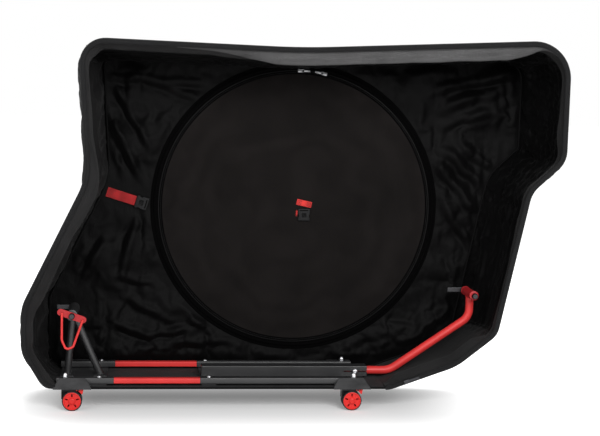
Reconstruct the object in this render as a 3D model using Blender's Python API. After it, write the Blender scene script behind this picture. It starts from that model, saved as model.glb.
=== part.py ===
"""Soft bicycle travel case on a rolling base frame, open on its near side.

Metres. +X runs to the front of the case, +Y to the closed far side, +Z up.
The origin lies on the floor, under the middle of the case.
"""
import math

import bmesh
import bpy
from mathutils import Matrix, Vector

# Clearances
GAP = 0.0003                # between pieces that touch
RUN_GAP = 0.0004            # radial, between pieces that turn or slide in each other
OVERRUN = 0.002             # how far a cutter runs past what it cuts
SOFT_EDGE = 0.0007          # rounding of thin webbing

# Case outline, seen from the open side
CASE_LENGTH = 1.334
REAR_X = -CASE_LENGTH / 2
FRONT_X = CASE_LENGTH / 2
HEEL_X = REAR_X + 0.055     # where the rear end starts to rise from the floor panel
HEEL_RISE = 0.092
HEEL_RADIUS = 0.045
REAR_BULGE_RISE = 0.2005
REAR_BULGE_RADIUS = 0.08
REAR_SLOPE_RADIUS = 0.09
REAR_WAIST_X = REAR_X + 0.150
REAR_WAIST_RISE = 0.5095
REAR_WAIST_RADIUS = 0.15
TOP_REAR_X = REAR_X + 0.130
TOP_REAR_RISE = 0.8485
TOP_REAR_RADIUS = 0.06
TOP_SAG_X = 0.0
TOP_SAG_RISE = 0.8355
TOP_SAG_RADIUS = 2.0
TOP_FRONT_RISE = 0.8705
TOP_FRONT_RADIUS = 0.09
FRONT_CHIN_X = FRONT_X - 0.003
FRONT_CHIN_RISE = 0.572
FRONT_CHIN_RADIUS = 0.06
FRONT_WAIST_X = FRONT_X - 0.088
FRONT_WAIST_RISE = 0.4945
FRONT_WAIST_RADIUS = 0.07
TOE_X = FRONT_X - 0.164
TOE_RISE = 0.137
TOE_RADIUS = 0.05
RAMP_BREAK_X = FRONT_X - 0.265
RAMP_BREAK_RISE = 0.058
RAMP_BREAK_RADIUS = 0.15
RAMP_START_X = FRONT_X - 0.432
RAMP_START_RADIUS = 0.06

# Case depth and walls
NEAR_Y = -0.1385            # near edge of the walls
FAR_Y = 0.1400              # outer face of the closed side panel
WALL = 0.003
FLOOR_PANEL_THICKNESS = 0.005
SIDE_PANEL_THICKNESS = 0.008
SIDE_TAPER = 0.045          # how much smaller the far side is, at the ends
TOP_TAPER = 0.035
RAMP_TAPER = 0.003
TOE_TAPER = 0.015
HEEL_TAPER = 0.006
TAPER_POWER = 3             # the walls stay straight, then round over to the far side
ARC_STEPS = 6
EDGE_STEPS = 4
DEPTH_SHARES = (0.0, 0.4, 0.65, 0.82, 0.93, 1.0)
NO_TAPER = 0.001            # a share of the depth too small to taper

# Zip and trim
ZIP_WIDTH = 0.009
ZIP_THICKNESS = 0.0028
SLIDER_LENGTH = 0.014
SLIDER_WIDTH = 0.008
SLIDER_THICKNESS = 0.0032
PULLER_LENGTH = 0.026
PULLER_WIDTH = 0.005
PULLER_THICKNESS = 0.0016
PULLER_LIFT = 0.0004        # above the zip tape
PATCH_THICKNESS = 0.0015
PATCH_START = 0.45          # share of the ramp's first edge where the wear patch starts

# Wheel pocket on the far panel
POCKET_X = 0.017
POCKET_Z = 0.483
POCKET_RADIUS = 0.366
POCKET_THICKNESS = 0.004
ROUND_STEPS = 96
TAB_LENGTH = 0.040
TAB_WIDTH = 0.016
TAB_THICKNESS = 0.0025
TAB_OFFSET_X = 0.024
TAB_OFFSET_Z = 0.010
TAB_TILT = math.radians(12)
BUCKLE_LENGTH = 0.032
BUCKLE_WIDTH = 0.033
BUCKLE_THICKNESS = 0.007
BUCKLE_DROP = 0.001         # below the tab's lowest corner
BUCKLE_EDGE = 0.002
STRAP_WIDTH = 0.026
STRAP_THICKNESS = 0.002
STRAP_REAR_X = REAR_WAIST_X + 0.0445
STRAP_TO_POCKET = 0.0475    # room for the buckle
STRAP_LENGTH = POCKET_X - POCKET_RADIUS - STRAP_TO_POCKET - STRAP_REAR_X
STRAP_Z = 0.516
STRAP_TILT = math.radians(17)
STRAP_BUCKLE_LENGTH = 0.034
STRAP_BUCKLE_WIDTH = 0.034
STRAP_BUCKLE_THICKNESS = 0.009
HANDLE_LENGTH = 0.300
HANDLE_WIDTH = 0.032
HANDLE_THICKNESS = 0.003
GRIP_LENGTH = 0.130
GRIP_WIDTH = 0.040
GRIP_THICKNESS = 0.0045
GRIP_EDGE = 0.0015
HANDLE_X = 0.02
HANDLE_Z = 0.70

# Casters: two wheels either side of a hood that swivels under the floor panel
WHEEL_DIAMETER = 0.0485
WHEEL_WIDTH = 0.011
WHEEL_STEPS = 24
TREAD_CROWN = 0.0010
RIM_WIDTH = 0.0045
HUB_DISH = 0.0012
HOOD_WEB = 0.010
WHEEL_SIDE_GAP = 0.001
HUB_CAP_RADIUS = 0.0075
AXLE_RADIUS = 0.003
CASTER_TRAIL = 0.018
HEAD_THICKNESS = 0.004
HEAD_GAP = 0.0002           # between a wheel's top and the hood's head
STEM_RADIUS = 0.004
CASTER_Y = 0.128
REAR_CASTER_X = REAR_X + 0.121
FRONT_CASTER_X = FRONT_X - 0.5265
HOOD_BACK = 0.0255          # from the axle back to the hood's straight side
HOOD_FRONT = 0.016
HOOD_RADIUS = 0.0215
HOOD_SIDE_INSET = 0.002     # of the hood's head behind the wheels' outer faces
HOOD_WEB_LOW = 0.004        # low end of the straight side, above the axle
HOOD_SKIRT_LOW = 0.006
HOOD_NOSE = 0.008           # of the web in front of the axle
PEDAL_ARM = 0.0155
PEDAL_WIDTH = 0.020
PEDAL_PIVOT_X = 0.0115
PEDAL_PIN_RADIUS = 0.0011
PEDAL_DROP = 0.0105
PEDAL_CLEAR = 0.0036        # from the treads
PEDAL_BACK = 0.0022
PEDAL_LIP = 0.002
PEDAL_ROOM = 0.004          # below the hood's head

# Base frame
CROSSBAR_THICKNESS = 0.0025
CROSSBAR_WIDTH = 0.036
RAIL_Y = 0.110
RAIL_WIDTH = 0.022
RAIL_HEIGHT = 0.016
RAIL_WALL = 0.001
RAIL_REAR_X = REAR_X + 0.082
RED_REAR_X = RAIL_REAR_X + 0.139
RED_FRONT_X = RED_REAR_X + 0.211
RAIL_FRONT_X = FRONT_X - 0.495
RED_INSERT = 0.045
RED_WALL = 0.0015
SCREW_X = (RED_REAR_X - 0.036, RED_FRONT_X + 0.022)
NUT_X = (RAIL_REAR_X + 0.021, RAIL_FRONT_X - 0.024)
SCREW_RADIUS = 0.0025
SCREW_HEAD_RADIUS = 0.006
SCREW_HEAD_HEIGHT = 0.0035
NUT_RADIUS = 0.0075
NUT_HEIGHT = 0.0115
BRACKET_FOOT = 0.092
BRACKET_TOP = 0.062
BRACKET_SHELF = 0.0025
BRACKET_LIP_Y = -0.1450
FAR_BRACKET_Y = 0.1300

# Central beam and fork stand
BEAM_WIDTH = 0.040
BEAM_HEIGHT = 0.026
BEAM_REAR_X = SCREW_X[1] - 0.015
BEAM_FRONT_X = RAIL_FRONT_X + 0.024
BEAM_EDGE = 0.001
TUBE_RADIUS = 0.0104
TUBE_IN_BEAM = 0.240
SLIT_LENGTH = 0.060
SLIT_HEIGHT = 0.003
CLAMP_BOLT_INSET = 0.031
CLAMP_BOLT_RADIUS = 0.0035
CLAMP_HEAD_RADIUS = 0.007
CLAMP_HEAD_HEIGHT = 0.008
LOW_BEND_X = BEAM_FRONT_X + 0.0606
LOW_BEND_RADIUS = 0.060
HIGH_BEND_X = TOE_X - 0.040
HIGH_BEND_Z = 0.214
HIGH_BEND_RADIUS = 0.040
FORK_HUB_Z = 0.2755
FORK_HUB_WIDTH = 0.100
FORK_HUB_RADIUS = 0.012

# Rear stand
REAR_HUB_X = NUT_X[0] + 0.013
REAR_HUB_Z = 0.222
REAR_HUB_WIDTH = 0.130
REAR_HUB_RADIUS = 0.014
LEG_RADIUS = 0.009
FOOT_LENGTH = 0.034
FOOT_WIDTH = 0.060
FOOT_THICKNESS = 0.003
FOOT_EDGE = 0.0008

# Hubs and quick-release axles
HUB_EDGE = 0.001
SKEWER_RADIUS = 0.0045
DROPOUT_ROOM = 0.0060       # room for a bicycle's dropout at each end of a hub
SKEWER_NUT_RADIUS = 0.0075
SKEWER_NUT_LENGTH = 0.010
EYE_RADIUS = 0.0050
EYE_THICKNESS = 0.004
LEVER_PIN_RADIUS = 0.0015
LEVER_BOSS_RADIUS = 0.0080
LEVER_BOSS_LENGTH = 0.015
LEVER_LENGTH = 0.045
LEVER_WIDTH = 0.012
LEVER_THICKNESS = 0.004
LEVER_EDGE = 0.0012

# Derailleur guard on the rear axle
GUARD_PLATE_THICKNESS = 0.003
GUARD_PLATE_LENGTH = 0.074
GUARD_PLATE_HEIGHT = 0.017
GUARD_TILT = math.radians(-19)
GUARD_ROD_RADIUS = 0.003
GUARD_REAR_LEG = -0.024     # along X from the axle
GUARD_FRONT_LEG = 0.027
GUARD_BENDS = ((-0.024, -0.059, 0.020), (-0.013, -0.084, 0.009), (0.004, -0.076, 0.009))    # x, z, radius

# Heights and places that follow from the sizes above
WHEEL_RADIUS = WHEEL_DIAMETER / 2
HEAD_LOW_Z = WHEEL_DIAMETER + HEAD_GAP
HEAD_TOP_Z = HEAD_LOW_Z + HEAD_THICKNESS
BASE_Z = HEAD_TOP_Z + GAP
FLOOR_Z = BASE_Z + FLOOR_PANEL_THICKNESS
CROSSBAR_Z = FLOOR_Z + GAP
FRAME_Z = CROSSBAR_Z + CROSSBAR_THICKNESS + GAP
RAIL_TOP_Z = FRAME_Z + RAIL_HEIGHT
BEAM_AXIS_Z = FRAME_Z + BEAM_HEIGHT / 2
PANEL_INNER_Y = FAR_Y - SIDE_PANEL_THICKNESS
POCKET_INNER_Y = PANEL_INNER_Y - GAP - POCKET_THICKNESS

RIM = (
    (HEEL_X, BASE_Z, HEEL_RADIUS),
    (RAMP_START_X, BASE_Z, RAMP_START_RADIUS),
    (RAMP_BREAK_X, BASE_Z + RAMP_BREAK_RISE, RAMP_BREAK_RADIUS),
    (TOE_X, BASE_Z + TOE_RISE, TOE_RADIUS),
    (FRONT_WAIST_X, BASE_Z + FRONT_WAIST_RISE, FRONT_WAIST_RADIUS),
    (FRONT_CHIN_X, BASE_Z + FRONT_CHIN_RISE, FRONT_CHIN_RADIUS),
    (FRONT_X, BASE_Z + TOP_FRONT_RISE, TOP_FRONT_RADIUS),
    (TOP_SAG_X, BASE_Z + TOP_SAG_RISE, TOP_SAG_RADIUS),
    (TOP_REAR_X, BASE_Z + TOP_REAR_RISE, TOP_REAR_RADIUS),
    (REAR_WAIST_X, BASE_Z + REAR_WAIST_RISE, REAR_WAIST_RADIUS),
    (REAR_X, BASE_Z + REAR_BULGE_RISE, REAR_SLOPE_RADIUS),
    (REAR_X, BASE_Z + HEEL_RISE, REAR_BULGE_RADIUS),
)
HEEL, RAMP_START, RAMP_BREAK, TOE = range(4)    # where these corners stand in RIM
TOP_FRONT, TOP_REAR = 6, 8
TAPERS = (0.0, RAMP_TAPER, TOE_TAPER, SIDE_TAPER, SIDE_TAPER, SIDE_TAPER,
          TOP_TAPER, TOP_TAPER, SIDE_TAPER, SIDE_TAPER, SIDE_TAPER, HEEL_TAPER)


# Materials
def make_material(name, colour, roughness, metallic=0.0):
    material = bpy.data.materials.new(name)
    material.use_nodes = True
    shader = material.node_tree.nodes["Principled BSDF"]
    shader.inputs["Base Color"].default_value = (*colour, 1.0)
    shader.inputs["Roughness"].default_value = roughness
    shader.inputs["Metallic"].default_value = metallic
    material.diffuse_color = (*colour, 1.0)
    return material


BLACK_NYLON = (0.012, 0.012, 0.013)
CHARCOAL = (0.045, 0.045, 0.047)
RED = (0.72, 0.02, 0.03)
DARK_RED = (0.38, 0.012, 0.02)
BLACK_PAINT = (0.010, 0.010, 0.011)
SILVER = (0.62, 0.62, 0.63)


# Mesh helpers
def add_object(name, mesh, colour, roughness, metallic=0.0, place=(0, 0, 0), smooth_angle=None):
    for polygon in mesh.polygons:
        polygon.use_smooth = smooth_angle is not None
    if smooth_angle is not None:
        mesh.set_sharp_from_angle(angle=math.radians(smooth_angle))
    mesh.materials.clear()
    mesh.materials.append(make_material(name + "_finish", colour, roughness, metallic))
    body = bpy.data.objects.new(name, mesh)
    body.location = place
    bpy.context.scene.collection.objects.link(body)
    return body


def finish_mesh(bm, name):
    bmesh.ops.recalc_face_normals(bm, faces=bm.faces)
    mesh = bpy.data.meshes.new(name)
    bm.to_mesh(mesh)
    bm.free()
    return mesh


def box_mesh(low, high, bevel=0.0, segments=2):
    bm = bmesh.new()
    size = Vector(high) - Vector(low)
    middle = (Vector(high) + Vector(low)) / 2
    bmesh.ops.create_cube(bm, size=1.0, matrix=Matrix.Translation(middle) @ Matrix.Diagonal((*size, 1.0)))
    if bevel:
        bmesh.ops.bevel(bm, geom=bm.edges[:], offset=bevel, segments=segments, affect="EDGES", profile=0.5)
    return finish_mesh(bm, "box")


def prism_mesh(outline, low, high, axis="Y", bevel=0.0):
    """A flat outline of (x, z) points pushed along Y, or of (y, z) points pushed along X."""
    bm = bmesh.new()
    if axis == "Y":
        ring = [bm.verts.new((u, low, v)) for u, v in outline]
        push = (0, high - low, 0)
    else:
        ring = [bm.verts.new((low, u, v)) for u, v in outline]
        push = (high - low, 0, 0)
    face = bm.faces.new(ring)
    result = bmesh.ops.extrude_face_region(bm, geom=[face])
    moved = [item for item in result["geom"] if isinstance(item, bmesh.types.BMVert)]
    bmesh.ops.translate(bm, vec=push, verts=moved)
    if bevel:
        bmesh.ops.bevel(bm, geom=bm.edges[:], offset=bevel, segments=2, affect="EDGES", profile=0.5)
    return finish_mesh(bm, "prism")


def turned_mesh(profile, axis, steps=32):
    """A closed profile of (radius, height) points turned about an axis through the origin."""
    bm = bmesh.new()
    rows = []
    for radius, height in profile:
        if radius == 0:
            rows.append([bm.verts.new((0, 0, height))])
            continue
        row = []
        for step in range(steps):
            angle = 2 * math.pi * step / steps
            row.append(bm.verts.new((radius * math.cos(angle), radius * math.sin(angle), height)))
        rows.append(row)
    for row, following in zip(rows, rows[1:] + rows[:1]):
        if len(row) == 1 and len(following) == 1:
            continue
        for step in range(steps):
            after = (step + 1) % steps
            if len(row) == 1:
                bm.faces.new((row[0], following[step], following[after]))
            elif len(following) == 1:
                bm.faces.new((row[step], row[after], following[0]))
            else:
                bm.faces.new((row[step], row[after], following[after], following[step]))
    turns = {"X": Matrix.Rotation(math.pi / 2, 4, "Y"), "Y": Matrix.Rotation(-math.pi / 2, 4, "X"),
             "Z": Matrix.Identity(4)}
    bmesh.ops.transform(bm, matrix=turns[axis], verts=bm.verts)
    return finish_mesh(bm, "turned")


def rod_mesh(radius, low, high, axis, steps=32):
    return turned_mesh([(0, low), (radius, low), (radius, high), (0, high)], axis, steps)


def tube_mesh(points, radius, resolution=4):
    """A round rod along a smooth row of points."""
    curve = bpy.data.curves.new("route", "CURVE")
    curve.dimensions = "3D"
    curve.bevel_depth = radius
    curve.bevel_resolution = resolution
    curve.use_fill_caps = True
    spline = curve.splines.new("POLY")
    spline.points.add(len(points) - 1)
    for point, place in zip(spline.points, points):
        point.co = (*place, 1.0)
    carrier = bpy.data.objects.new("route", curve)
    bpy.context.scene.collection.objects.link(carrier)
    bpy.context.view_layer.update()
    mesh = bpy.data.meshes.new_from_object(carrier.evaluated_get(bpy.context.evaluated_depsgraph_get()))
    bpy.data.objects.remove(carrier)
    bpy.data.curves.remove(curve)
    bm = bmesh.new()
    bm.from_mesh(mesh)
    bmesh.ops.remove_doubles(bm, verts=bm.verts, dist=0.00001)
    bpy.data.meshes.remove(mesh)
    return finish_mesh(bm, "tube")


def moved_mesh(mesh, matrix):
    mesh.transform(matrix)
    return mesh


def combined_mesh(base, tool, operation):
    """Two meshes joined or cut by an exact Boolean."""
    first = bpy.data.objects.new("base", base)
    second = bpy.data.objects.new("tool", tool)
    for piece in (first, second):
        bpy.context.scene.collection.objects.link(piece)
    cut = first.modifiers.new("cut", "BOOLEAN")
    cut.operation = operation
    cut.solver = "EXACT"
    cut.object = second
    bpy.context.view_layer.update()
    result = bpy.data.meshes.new_from_object(first.evaluated_get(bpy.context.evaluated_depsgraph_get()))
    bpy.data.objects.remove(first)
    bpy.data.objects.remove(second)
    bm = bmesh.new()
    bm.from_mesh(result)
    bmesh.ops.remove_doubles(bm, verts=bm.verts, dist=0.000005)
    bmesh.ops.dissolve_degenerate(bm, edges=bm.edges, dist=0.000005)
    return finish_mesh(bm, "combined")


def drilled(mesh, radius, places, low, high, axis="Z", steps=16):
    for place in places:
        drill = moved_mesh(rod_mesh(radius, low - OVERRUN, high + OVERRUN, axis, steps),
                           Matrix.Translation(place))
        mesh = combined_mesh(mesh, drill, "DIFFERENCE")
    return mesh


def arc(centre, radius, start, stop, steps):
    points = []
    for step in range(steps + 1):
        angle = start + (stop - start) * step / steps
        points.append((centre[0] + radius * math.cos(angle), centre[1] + radius * math.sin(angle)))
    return points


# Outlines of the case
def inset_corners(corners, insets):
    """Each edge of the outline moved inwards by its own distance; edge i leaves corner i."""
    count = len(corners)
    lines = []
    for index in range(count):
        start = Vector(corners[index][:2])
        stop = Vector(corners[(index + 1) % count][:2])
        along = (stop - start).normalized()
        inward = Vector((-along.y, along.x))
        lines.append((start + inward * insets[index], along, inward))
    result = []
    for index in range(count):
        first_point, first_along, _ = lines[index - 1]
        second_point, second_along, _ = lines[index]
        cross = first_along.x * second_along.y - first_along.y * second_along.x
        offset = second_point - first_point
        travel = (offset.x * second_along.y - offset.y * second_along.x) / cross
        place = first_point + first_along * travel
        shift = min(insets[index - 1], insets[index])
        radius = corners[index][2] + (-shift if cross > 0 else shift)
        result.append((place.x, place.y, max(radius, 0.004)))
    return result


def rounded_outline(corners):
    """Points round the outline: an arc at each corner, then steps along the edge that follows."""
    count = len(corners)
    arcs = []
    for index in range(count):
        corner = Vector(corners[index][:2])
        before = (Vector(corners[index - 1][:2]) - corner).normalized()
        after = (Vector(corners[(index + 1) % count][:2]) - corner).normalized()
        half_angle = before.angle(after) / 2
        radius = corners[index][2]
        reach = radius / math.tan(half_angle)
        centre = corner + (before + after).normalized() * radius / math.sin(half_angle)
        first = corner + before * reach - centre
        last = corner + after * reach - centre
        sweep = math.atan2(first.x * last.y - first.y * last.x, first.dot(last))
        start = math.atan2(first.y, first.x)
        arcs.append([Vector(p) for p in arc(centre, radius, start, start + sweep, ARC_STEPS)])
    points = []
    for index in range(count):
        points += arcs[index]
        last, following = arcs[index][-1], arcs[(index + 1) % count][0]
        points += [last.lerp(following, step / EDGE_STEPS) for step in range(1, EDGE_STEPS)]
    return points


CORNER_POINTS = ARC_STEPS + EDGE_STEPS


def arc_start(corner):
    return corner * CORNER_POINTS


def arc_middle(corner):
    return arc_start(corner) + ARC_STEPS // 2


def arc_stop(corner):
    return arc_start(corner) + ARC_STEPS


def depth_of(share):
    return NEAR_Y + (FAR_Y - NEAR_Y) * share


def side_outlines(inset):
    """The near and the far outline, both moved inwards by the same distance."""
    near = rounded_outline(inset_corners(RIM, [inset] * len(RIM)))
    far = rounded_outline(inset_corners(RIM, [taper + inset for taper in TAPERS]))
    return near, far


def wall_mesh(start, stop, outer_inset, inner_inset, shares=DEPTH_SHARES, depth=depth_of):
    """A strip of the case's wall between two points of its outline."""
    bm = bmesh.new()
    skins = []
    for inset in (outer_inset, inner_inset):
        near, far = side_outlines(inset)
        skin = []
        for share in shares:
            bend = share ** TAPER_POWER
            row = []
            for index in range(start, stop + 1):
                wrapped = index % len(near)
                place = near[wrapped].lerp(far[wrapped], bend)
                row.append(Vector((place.x, depth(share), place.y)))
            first_step = (row[1] - row[0]).length
            last_step = (row[-1] - row[-2]).length
            row[0] = row[0].lerp(row[1], GAP / 2 / first_step)
            row[-1] = row[-1].lerp(row[-2], GAP / 2 / last_step)
            skin.append([bm.verts.new(place) for place in row])
        skins.append(skin)
    outer, inner = skins
    rows, columns = len(outer), len(outer[0])
    for row in range(rows - 1):
        for column in range(columns - 1):
            for skin in skins:
                bm.faces.new((skin[row][column], skin[row][column + 1],
                              skin[row + 1][column + 1], skin[row + 1][column]))
        for column in (0, columns - 1):
            bm.faces.new((outer[row][column], outer[row + 1][column],
                          inner[row + 1][column], inner[row][column]))
    for row in (0, rows - 1):
        for column in range(columns - 1):
            bm.faces.new((outer[row][column], outer[row][column + 1],
                          inner[row][column + 1], inner[row][column]))
    return finish_mesh(bm, "wall")


# Sub-parts of the case
def build_walls():
    whole_turn = len(RIM) * CORNER_POINTS
    strips = {
        "ramp_panel": (arc_start(RAMP_START), arc_middle(TOE)),
        "front_gusset": (arc_middle(TOE), arc_middle(TOP_FRONT)),
        "top_gusset": (arc_middle(TOP_FRONT), arc_middle(TOP_REAR)),
        "rear_gusset": (arc_middle(TOP_REAR), whole_turn + arc_stop(HEEL)),
    }
    for name, (start, stop) in strips.items():
        add_object(name, wall_mesh(start, stop, 0.0, WALL), BLACK_NYLON, 0.75, smooth_angle=40)
    patch_start = arc_stop(RAMP_START) + round(PATCH_START * EDGE_STEPS)
    patch = wall_mesh(patch_start, arc_stop(RAMP_BREAK), -GAP - PATCH_THICKNESS, -GAP, DEPTH_SHARES[:4])
    add_object("wear_patch", patch, CHARCOAL, 0.6, smooth_angle=40)


def build_floor_panel():
    mesh = wall_mesh(arc_stop(HEEL), arc_start(RAMP_START), 0.0, FLOOR_PANEL_THICKNESS)
    places = [(x, y, 0) for x in stem_places() for y in (-CASTER_Y, CASTER_Y)]
    mesh = drilled(mesh, STEM_RADIUS + RUN_GAP, places, BASE_Z, FLOOR_Z)
    add_object("floor_panel", mesh, CHARCOAL, 0.7)


def build_far_panel():
    insets = [taper + WALL + GAP for taper in TAPERS]
    insets[HEEL] = FLOOR_PANEL_THICKNESS + GAP
    outline = [(p.x, p.y) for p in rounded_outline(inset_corners(RIM, insets))]
    add_object("far_panel", prism_mesh(outline, PANEL_INNER_Y, FAR_Y), BLACK_NYLON, 0.75)


def build_zip():
    start, stop = arc_start(RAMP_START), len(RIM) * CORNER_POINTS
    back = NEAR_Y - GAP
    skins = {0.0: back - ZIP_THICKNESS, NO_TAPER: back}
    tape = wall_mesh(start, stop, 0.0, ZIP_WIDTH, tuple(skins), skins.get)
    add_object("rim_zip", tape, CHARCOAL, 0.55)
    near, _ = side_outlines(ZIP_WIDTH / 2)
    index = arc_stop(RAMP_START) + 1
    along = near[index + 1] - near[index]
    lean = Matrix.Rotation(-math.atan2(along.y, along.x), 4, "Y")
    body = box_mesh((-SLIDER_LENGTH / 2, -SLIDER_THICKNESS, -SLIDER_WIDTH / 2),
                    (SLIDER_LENGTH / 2, 0, SLIDER_WIDTH / 2), SOFT_EDGE)
    puller = box_mesh((0, -PULLER_THICKNESS - PULLER_LIFT, -PULLER_WIDTH / 2),
                      (SLIDER_LENGTH / 2 + PULLER_LENGTH, -PULLER_LIFT, PULLER_WIDTH / 2))
    place = (near[index].x, back - ZIP_THICKNESS - GAP, near[index].y)
    slider = moved_mesh(combined_mesh(body, puller, "UNION"), Matrix.Translation(place) @ lean)
    add_object("zip_slider", slider, BLACK_PAINT, 0.35, 0.8)


def build_pocket():
    disc = rod_mesh(POCKET_RADIUS, -POCKET_THICKNESS, 0, "Y", ROUND_STEPS)
    add_object("wheel_pocket", disc, CHARCOAL, 0.7, place=(POCKET_X, PANEL_INNER_Y - GAP, POCKET_Z))


def build_pocket_tab():
    x = POCKET_X + TAB_OFFSET_X
    z = POCKET_Z + TAB_OFFSET_Z
    tab = box_mesh((-TAB_LENGTH / 2, -TAB_THICKNESS, -TAB_WIDTH / 2),
                   (TAB_LENGTH / 2, 0, TAB_WIDTH / 2), SOFT_EDGE)
    add_object("hub_strap", moved_mesh(tab, Matrix.Rotation(TAB_TILT, 4, "Y")), RED, 0.7,
               place=(x, POCKET_INNER_Y - GAP, z))
    low = z - TAB_WIDTH / 2 - TAB_LENGTH / 2 * math.sin(TAB_TILT) - BUCKLE_DROP
    buckle = box_mesh((x - BUCKLE_LENGTH / 2, POCKET_INNER_Y - GAP - BUCKLE_THICKNESS, low - BUCKLE_WIDTH),
                      (x + BUCKLE_LENGTH / 2, POCKET_INNER_Y - GAP, low), BUCKLE_EDGE)
    add_object("hub_buckle", buckle, CHARCOAL, 0.45)


def build_rear_strap():
    back = PANEL_INNER_Y - GAP
    turn = Matrix.Translation((STRAP_REAR_X, back, STRAP_Z)) @ Matrix.Rotation(STRAP_TILT, 4, "Y")
    strap = box_mesh((0, -STRAP_THICKNESS, -STRAP_WIDTH / 2), (STRAP_LENGTH, 0, STRAP_WIDTH / 2), SOFT_EDGE)
    add_object("rear_strap", moved_mesh(strap, turn), DARK_RED, 0.75)
    start = STRAP_LENGTH + GAP
    buckle = box_mesh((start, -STRAP_BUCKLE_THICKNESS, -STRAP_BUCKLE_WIDTH / 2),
                      (start + STRAP_BUCKLE_LENGTH, 0, STRAP_BUCKLE_WIDTH / 2), BUCKLE_EDGE)
    add_object("rear_strap_buckle", moved_mesh(buckle, turn), BLACK_PAINT, 0.45)


def build_handle():
    """A webbing handle with a padded grip, lying flat on the outside of the far panel."""
    back = FAR_Y + GAP
    strap = box_mesh((-HANDLE_LENGTH / 2, 0, -HANDLE_WIDTH / 2),
                     (HANDLE_LENGTH / 2, HANDLE_THICKNESS, HANDLE_WIDTH / 2), SOFT_EDGE)
    grip = box_mesh((-GRIP_LENGTH / 2, 0, -GRIP_WIDTH / 2),
                    (GRIP_LENGTH / 2, GRIP_THICKNESS, GRIP_WIDTH / 2), GRIP_EDGE)
    handle = combined_mesh(strap, grip, "UNION")
    add_object("carry_handle", handle, CHARCOAL, 0.7, place=(HANDLE_X, back, HANDLE_Z))


# Casters
def stem_places():
    return REAR_CASTER_X - CASTER_TRAIL, FRONT_CASTER_X - CASTER_TRAIL


def caster_hood_mesh():
    """The hood, with its axle at the origin, its head over both wheels and its web between them."""
    top = HEAD_TOP_Z - WHEEL_RADIUS
    low = HEAD_LOW_Z - WHEEL_RADIUS
    middle = (top + low) / 2
    half_web = HOOD_WEB / 2
    full = half_web + WHEEL_SIDE_GAP + WHEEL_WIDTH - HOOD_SIDE_INSET
    round_part = arc((0, 0), HOOD_RADIUS, math.radians(-150), math.radians(20), 10)
    web_outline = [(-HOOD_BACK, middle), (-HOOD_BACK, HOOD_WEB_LOW)] + round_part
    web_outline += [(HOOD_NOSE, low - PEDAL_ROOM), (HOOD_NOSE, middle)]
    web = prism_mesh(web_outline, -half_web, half_web)
    head = box_mesh((-HOOD_BACK, -full, low), (HOOD_FRONT, full, top))
    hood = combined_mesh(head, web, "UNION")
    skirt = box_mesh((-HOOD_BACK, -full, HOOD_SKIRT_LOW), (-WHEEL_RADIUS - GAP, full, middle))
    hood = combined_mesh(hood, skirt, "UNION")
    room = box_mesh((HOOD_NOSE + GAP, -PEDAL_WIDTH / 2 - GAP, low - PEDAL_ROOM),
                    (HOOD_FRONT + OVERRUN, PEDAL_WIDTH / 2 + GAP, top + OVERRUN))
    hood = combined_mesh(hood, room, "DIFFERENCE")
    stem = moved_mesh(rod_mesh(STEM_RADIUS, middle, FLOOR_Z - WHEEL_RADIUS - GAP, "Z", 16),
                      Matrix.Translation((-CASTER_TRAIL, 0, 0)))
    hood = combined_mesh(hood, stem, "UNION")
    hood = drilled(hood, AXLE_RADIUS + RUN_GAP, [(0, 0, 0)], -full, full, "Y", 20)
    return drilled(hood, PEDAL_PIN_RADIUS + RUN_GAP, [pedal_pivot()], -full, full, "Y", 10)


def pedal_pivot():
    return Vector((PEDAL_PIVOT_X, 0, (HEAD_LOW_Z + HEAD_TOP_Z) / 2 - WHEEL_RADIUS))


def caster_pedal_mesh():
    """The brake pedal, with its pivot at the origin: a wedge that hugs the wheels' treads."""
    pivot = pedal_pivot()
    clear = WHEEL_RADIUS + PEDAL_CLEAR
    knuckle = (HEAD_TOP_Z - HEAD_LOW_Z) / 2 - GAP
    start = math.asin((pivot.z - PEDAL_DROP) / clear)
    stop = math.asin((pivot.z - knuckle) / clear)
    hug = [(x - pivot.x, z - pivot.z) for x, z in arc((0, 0), clear, start, stop, 5)]
    outline = [(0.0, knuckle), (-PEDAL_BACK, 0.0), (0.0, -knuckle)]
    outline += list(reversed(hug))
    outline += [(PEDAL_ARM - PEDAL_LIP, -PEDAL_DROP), (PEDAL_ARM, -knuckle), (PEDAL_ARM, knuckle)]
    wedge = prism_mesh(outline, -PEDAL_WIDTH / 2, PEDAL_WIDTH / 2)
    reach = HOOD_WEB / 2 + WHEEL_SIDE_GAP + WHEEL_WIDTH - HOOD_SIDE_INSET - GAP
    return combined_mesh(wedge, rod_mesh(PEDAL_PIN_RADIUS, -reach, reach, "Y", 10), "UNION")


def caster_wheels_mesh():
    """Both wheels of a caster, moulded with their treads, on the axle that they share."""
    inner = HOOD_WEB / 2 + WHEEL_SIDE_GAP
    outer = inner + WHEEL_WIDTH
    dish_radius = WHEEL_RADIUS - RIM_WIDTH
    half = [(WHEEL_RADIUS, inner), (WHEEL_RADIUS, outer - TREAD_CROWN), (WHEEL_RADIUS - TREAD_CROWN, outer),
            (dish_radius, outer), (dish_radius - HUB_DISH, outer - HUB_DISH),
            (HUB_CAP_RADIUS + HUB_DISH, outer - HUB_DISH), (HUB_CAP_RADIUS, outer), (0, outer)]
    profile = [(0, -outer)] + [(r, -h) for r, h in reversed(half[:-1])]
    profile += [(AXLE_RADIUS, -inner), (AXLE_RADIUS, inner)] + half
    return turned_mesh(profile, "Y", WHEEL_STEPS)


def caster_spots():
    return {
        "rear_near": (REAR_CASTER_X, -CASTER_Y), "rear_far": (REAR_CASTER_X, CASTER_Y),
        "front_near": (FRONT_CASTER_X, -CASTER_Y), "front_far": (FRONT_CASTER_X, CASTER_Y),
    }


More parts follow.
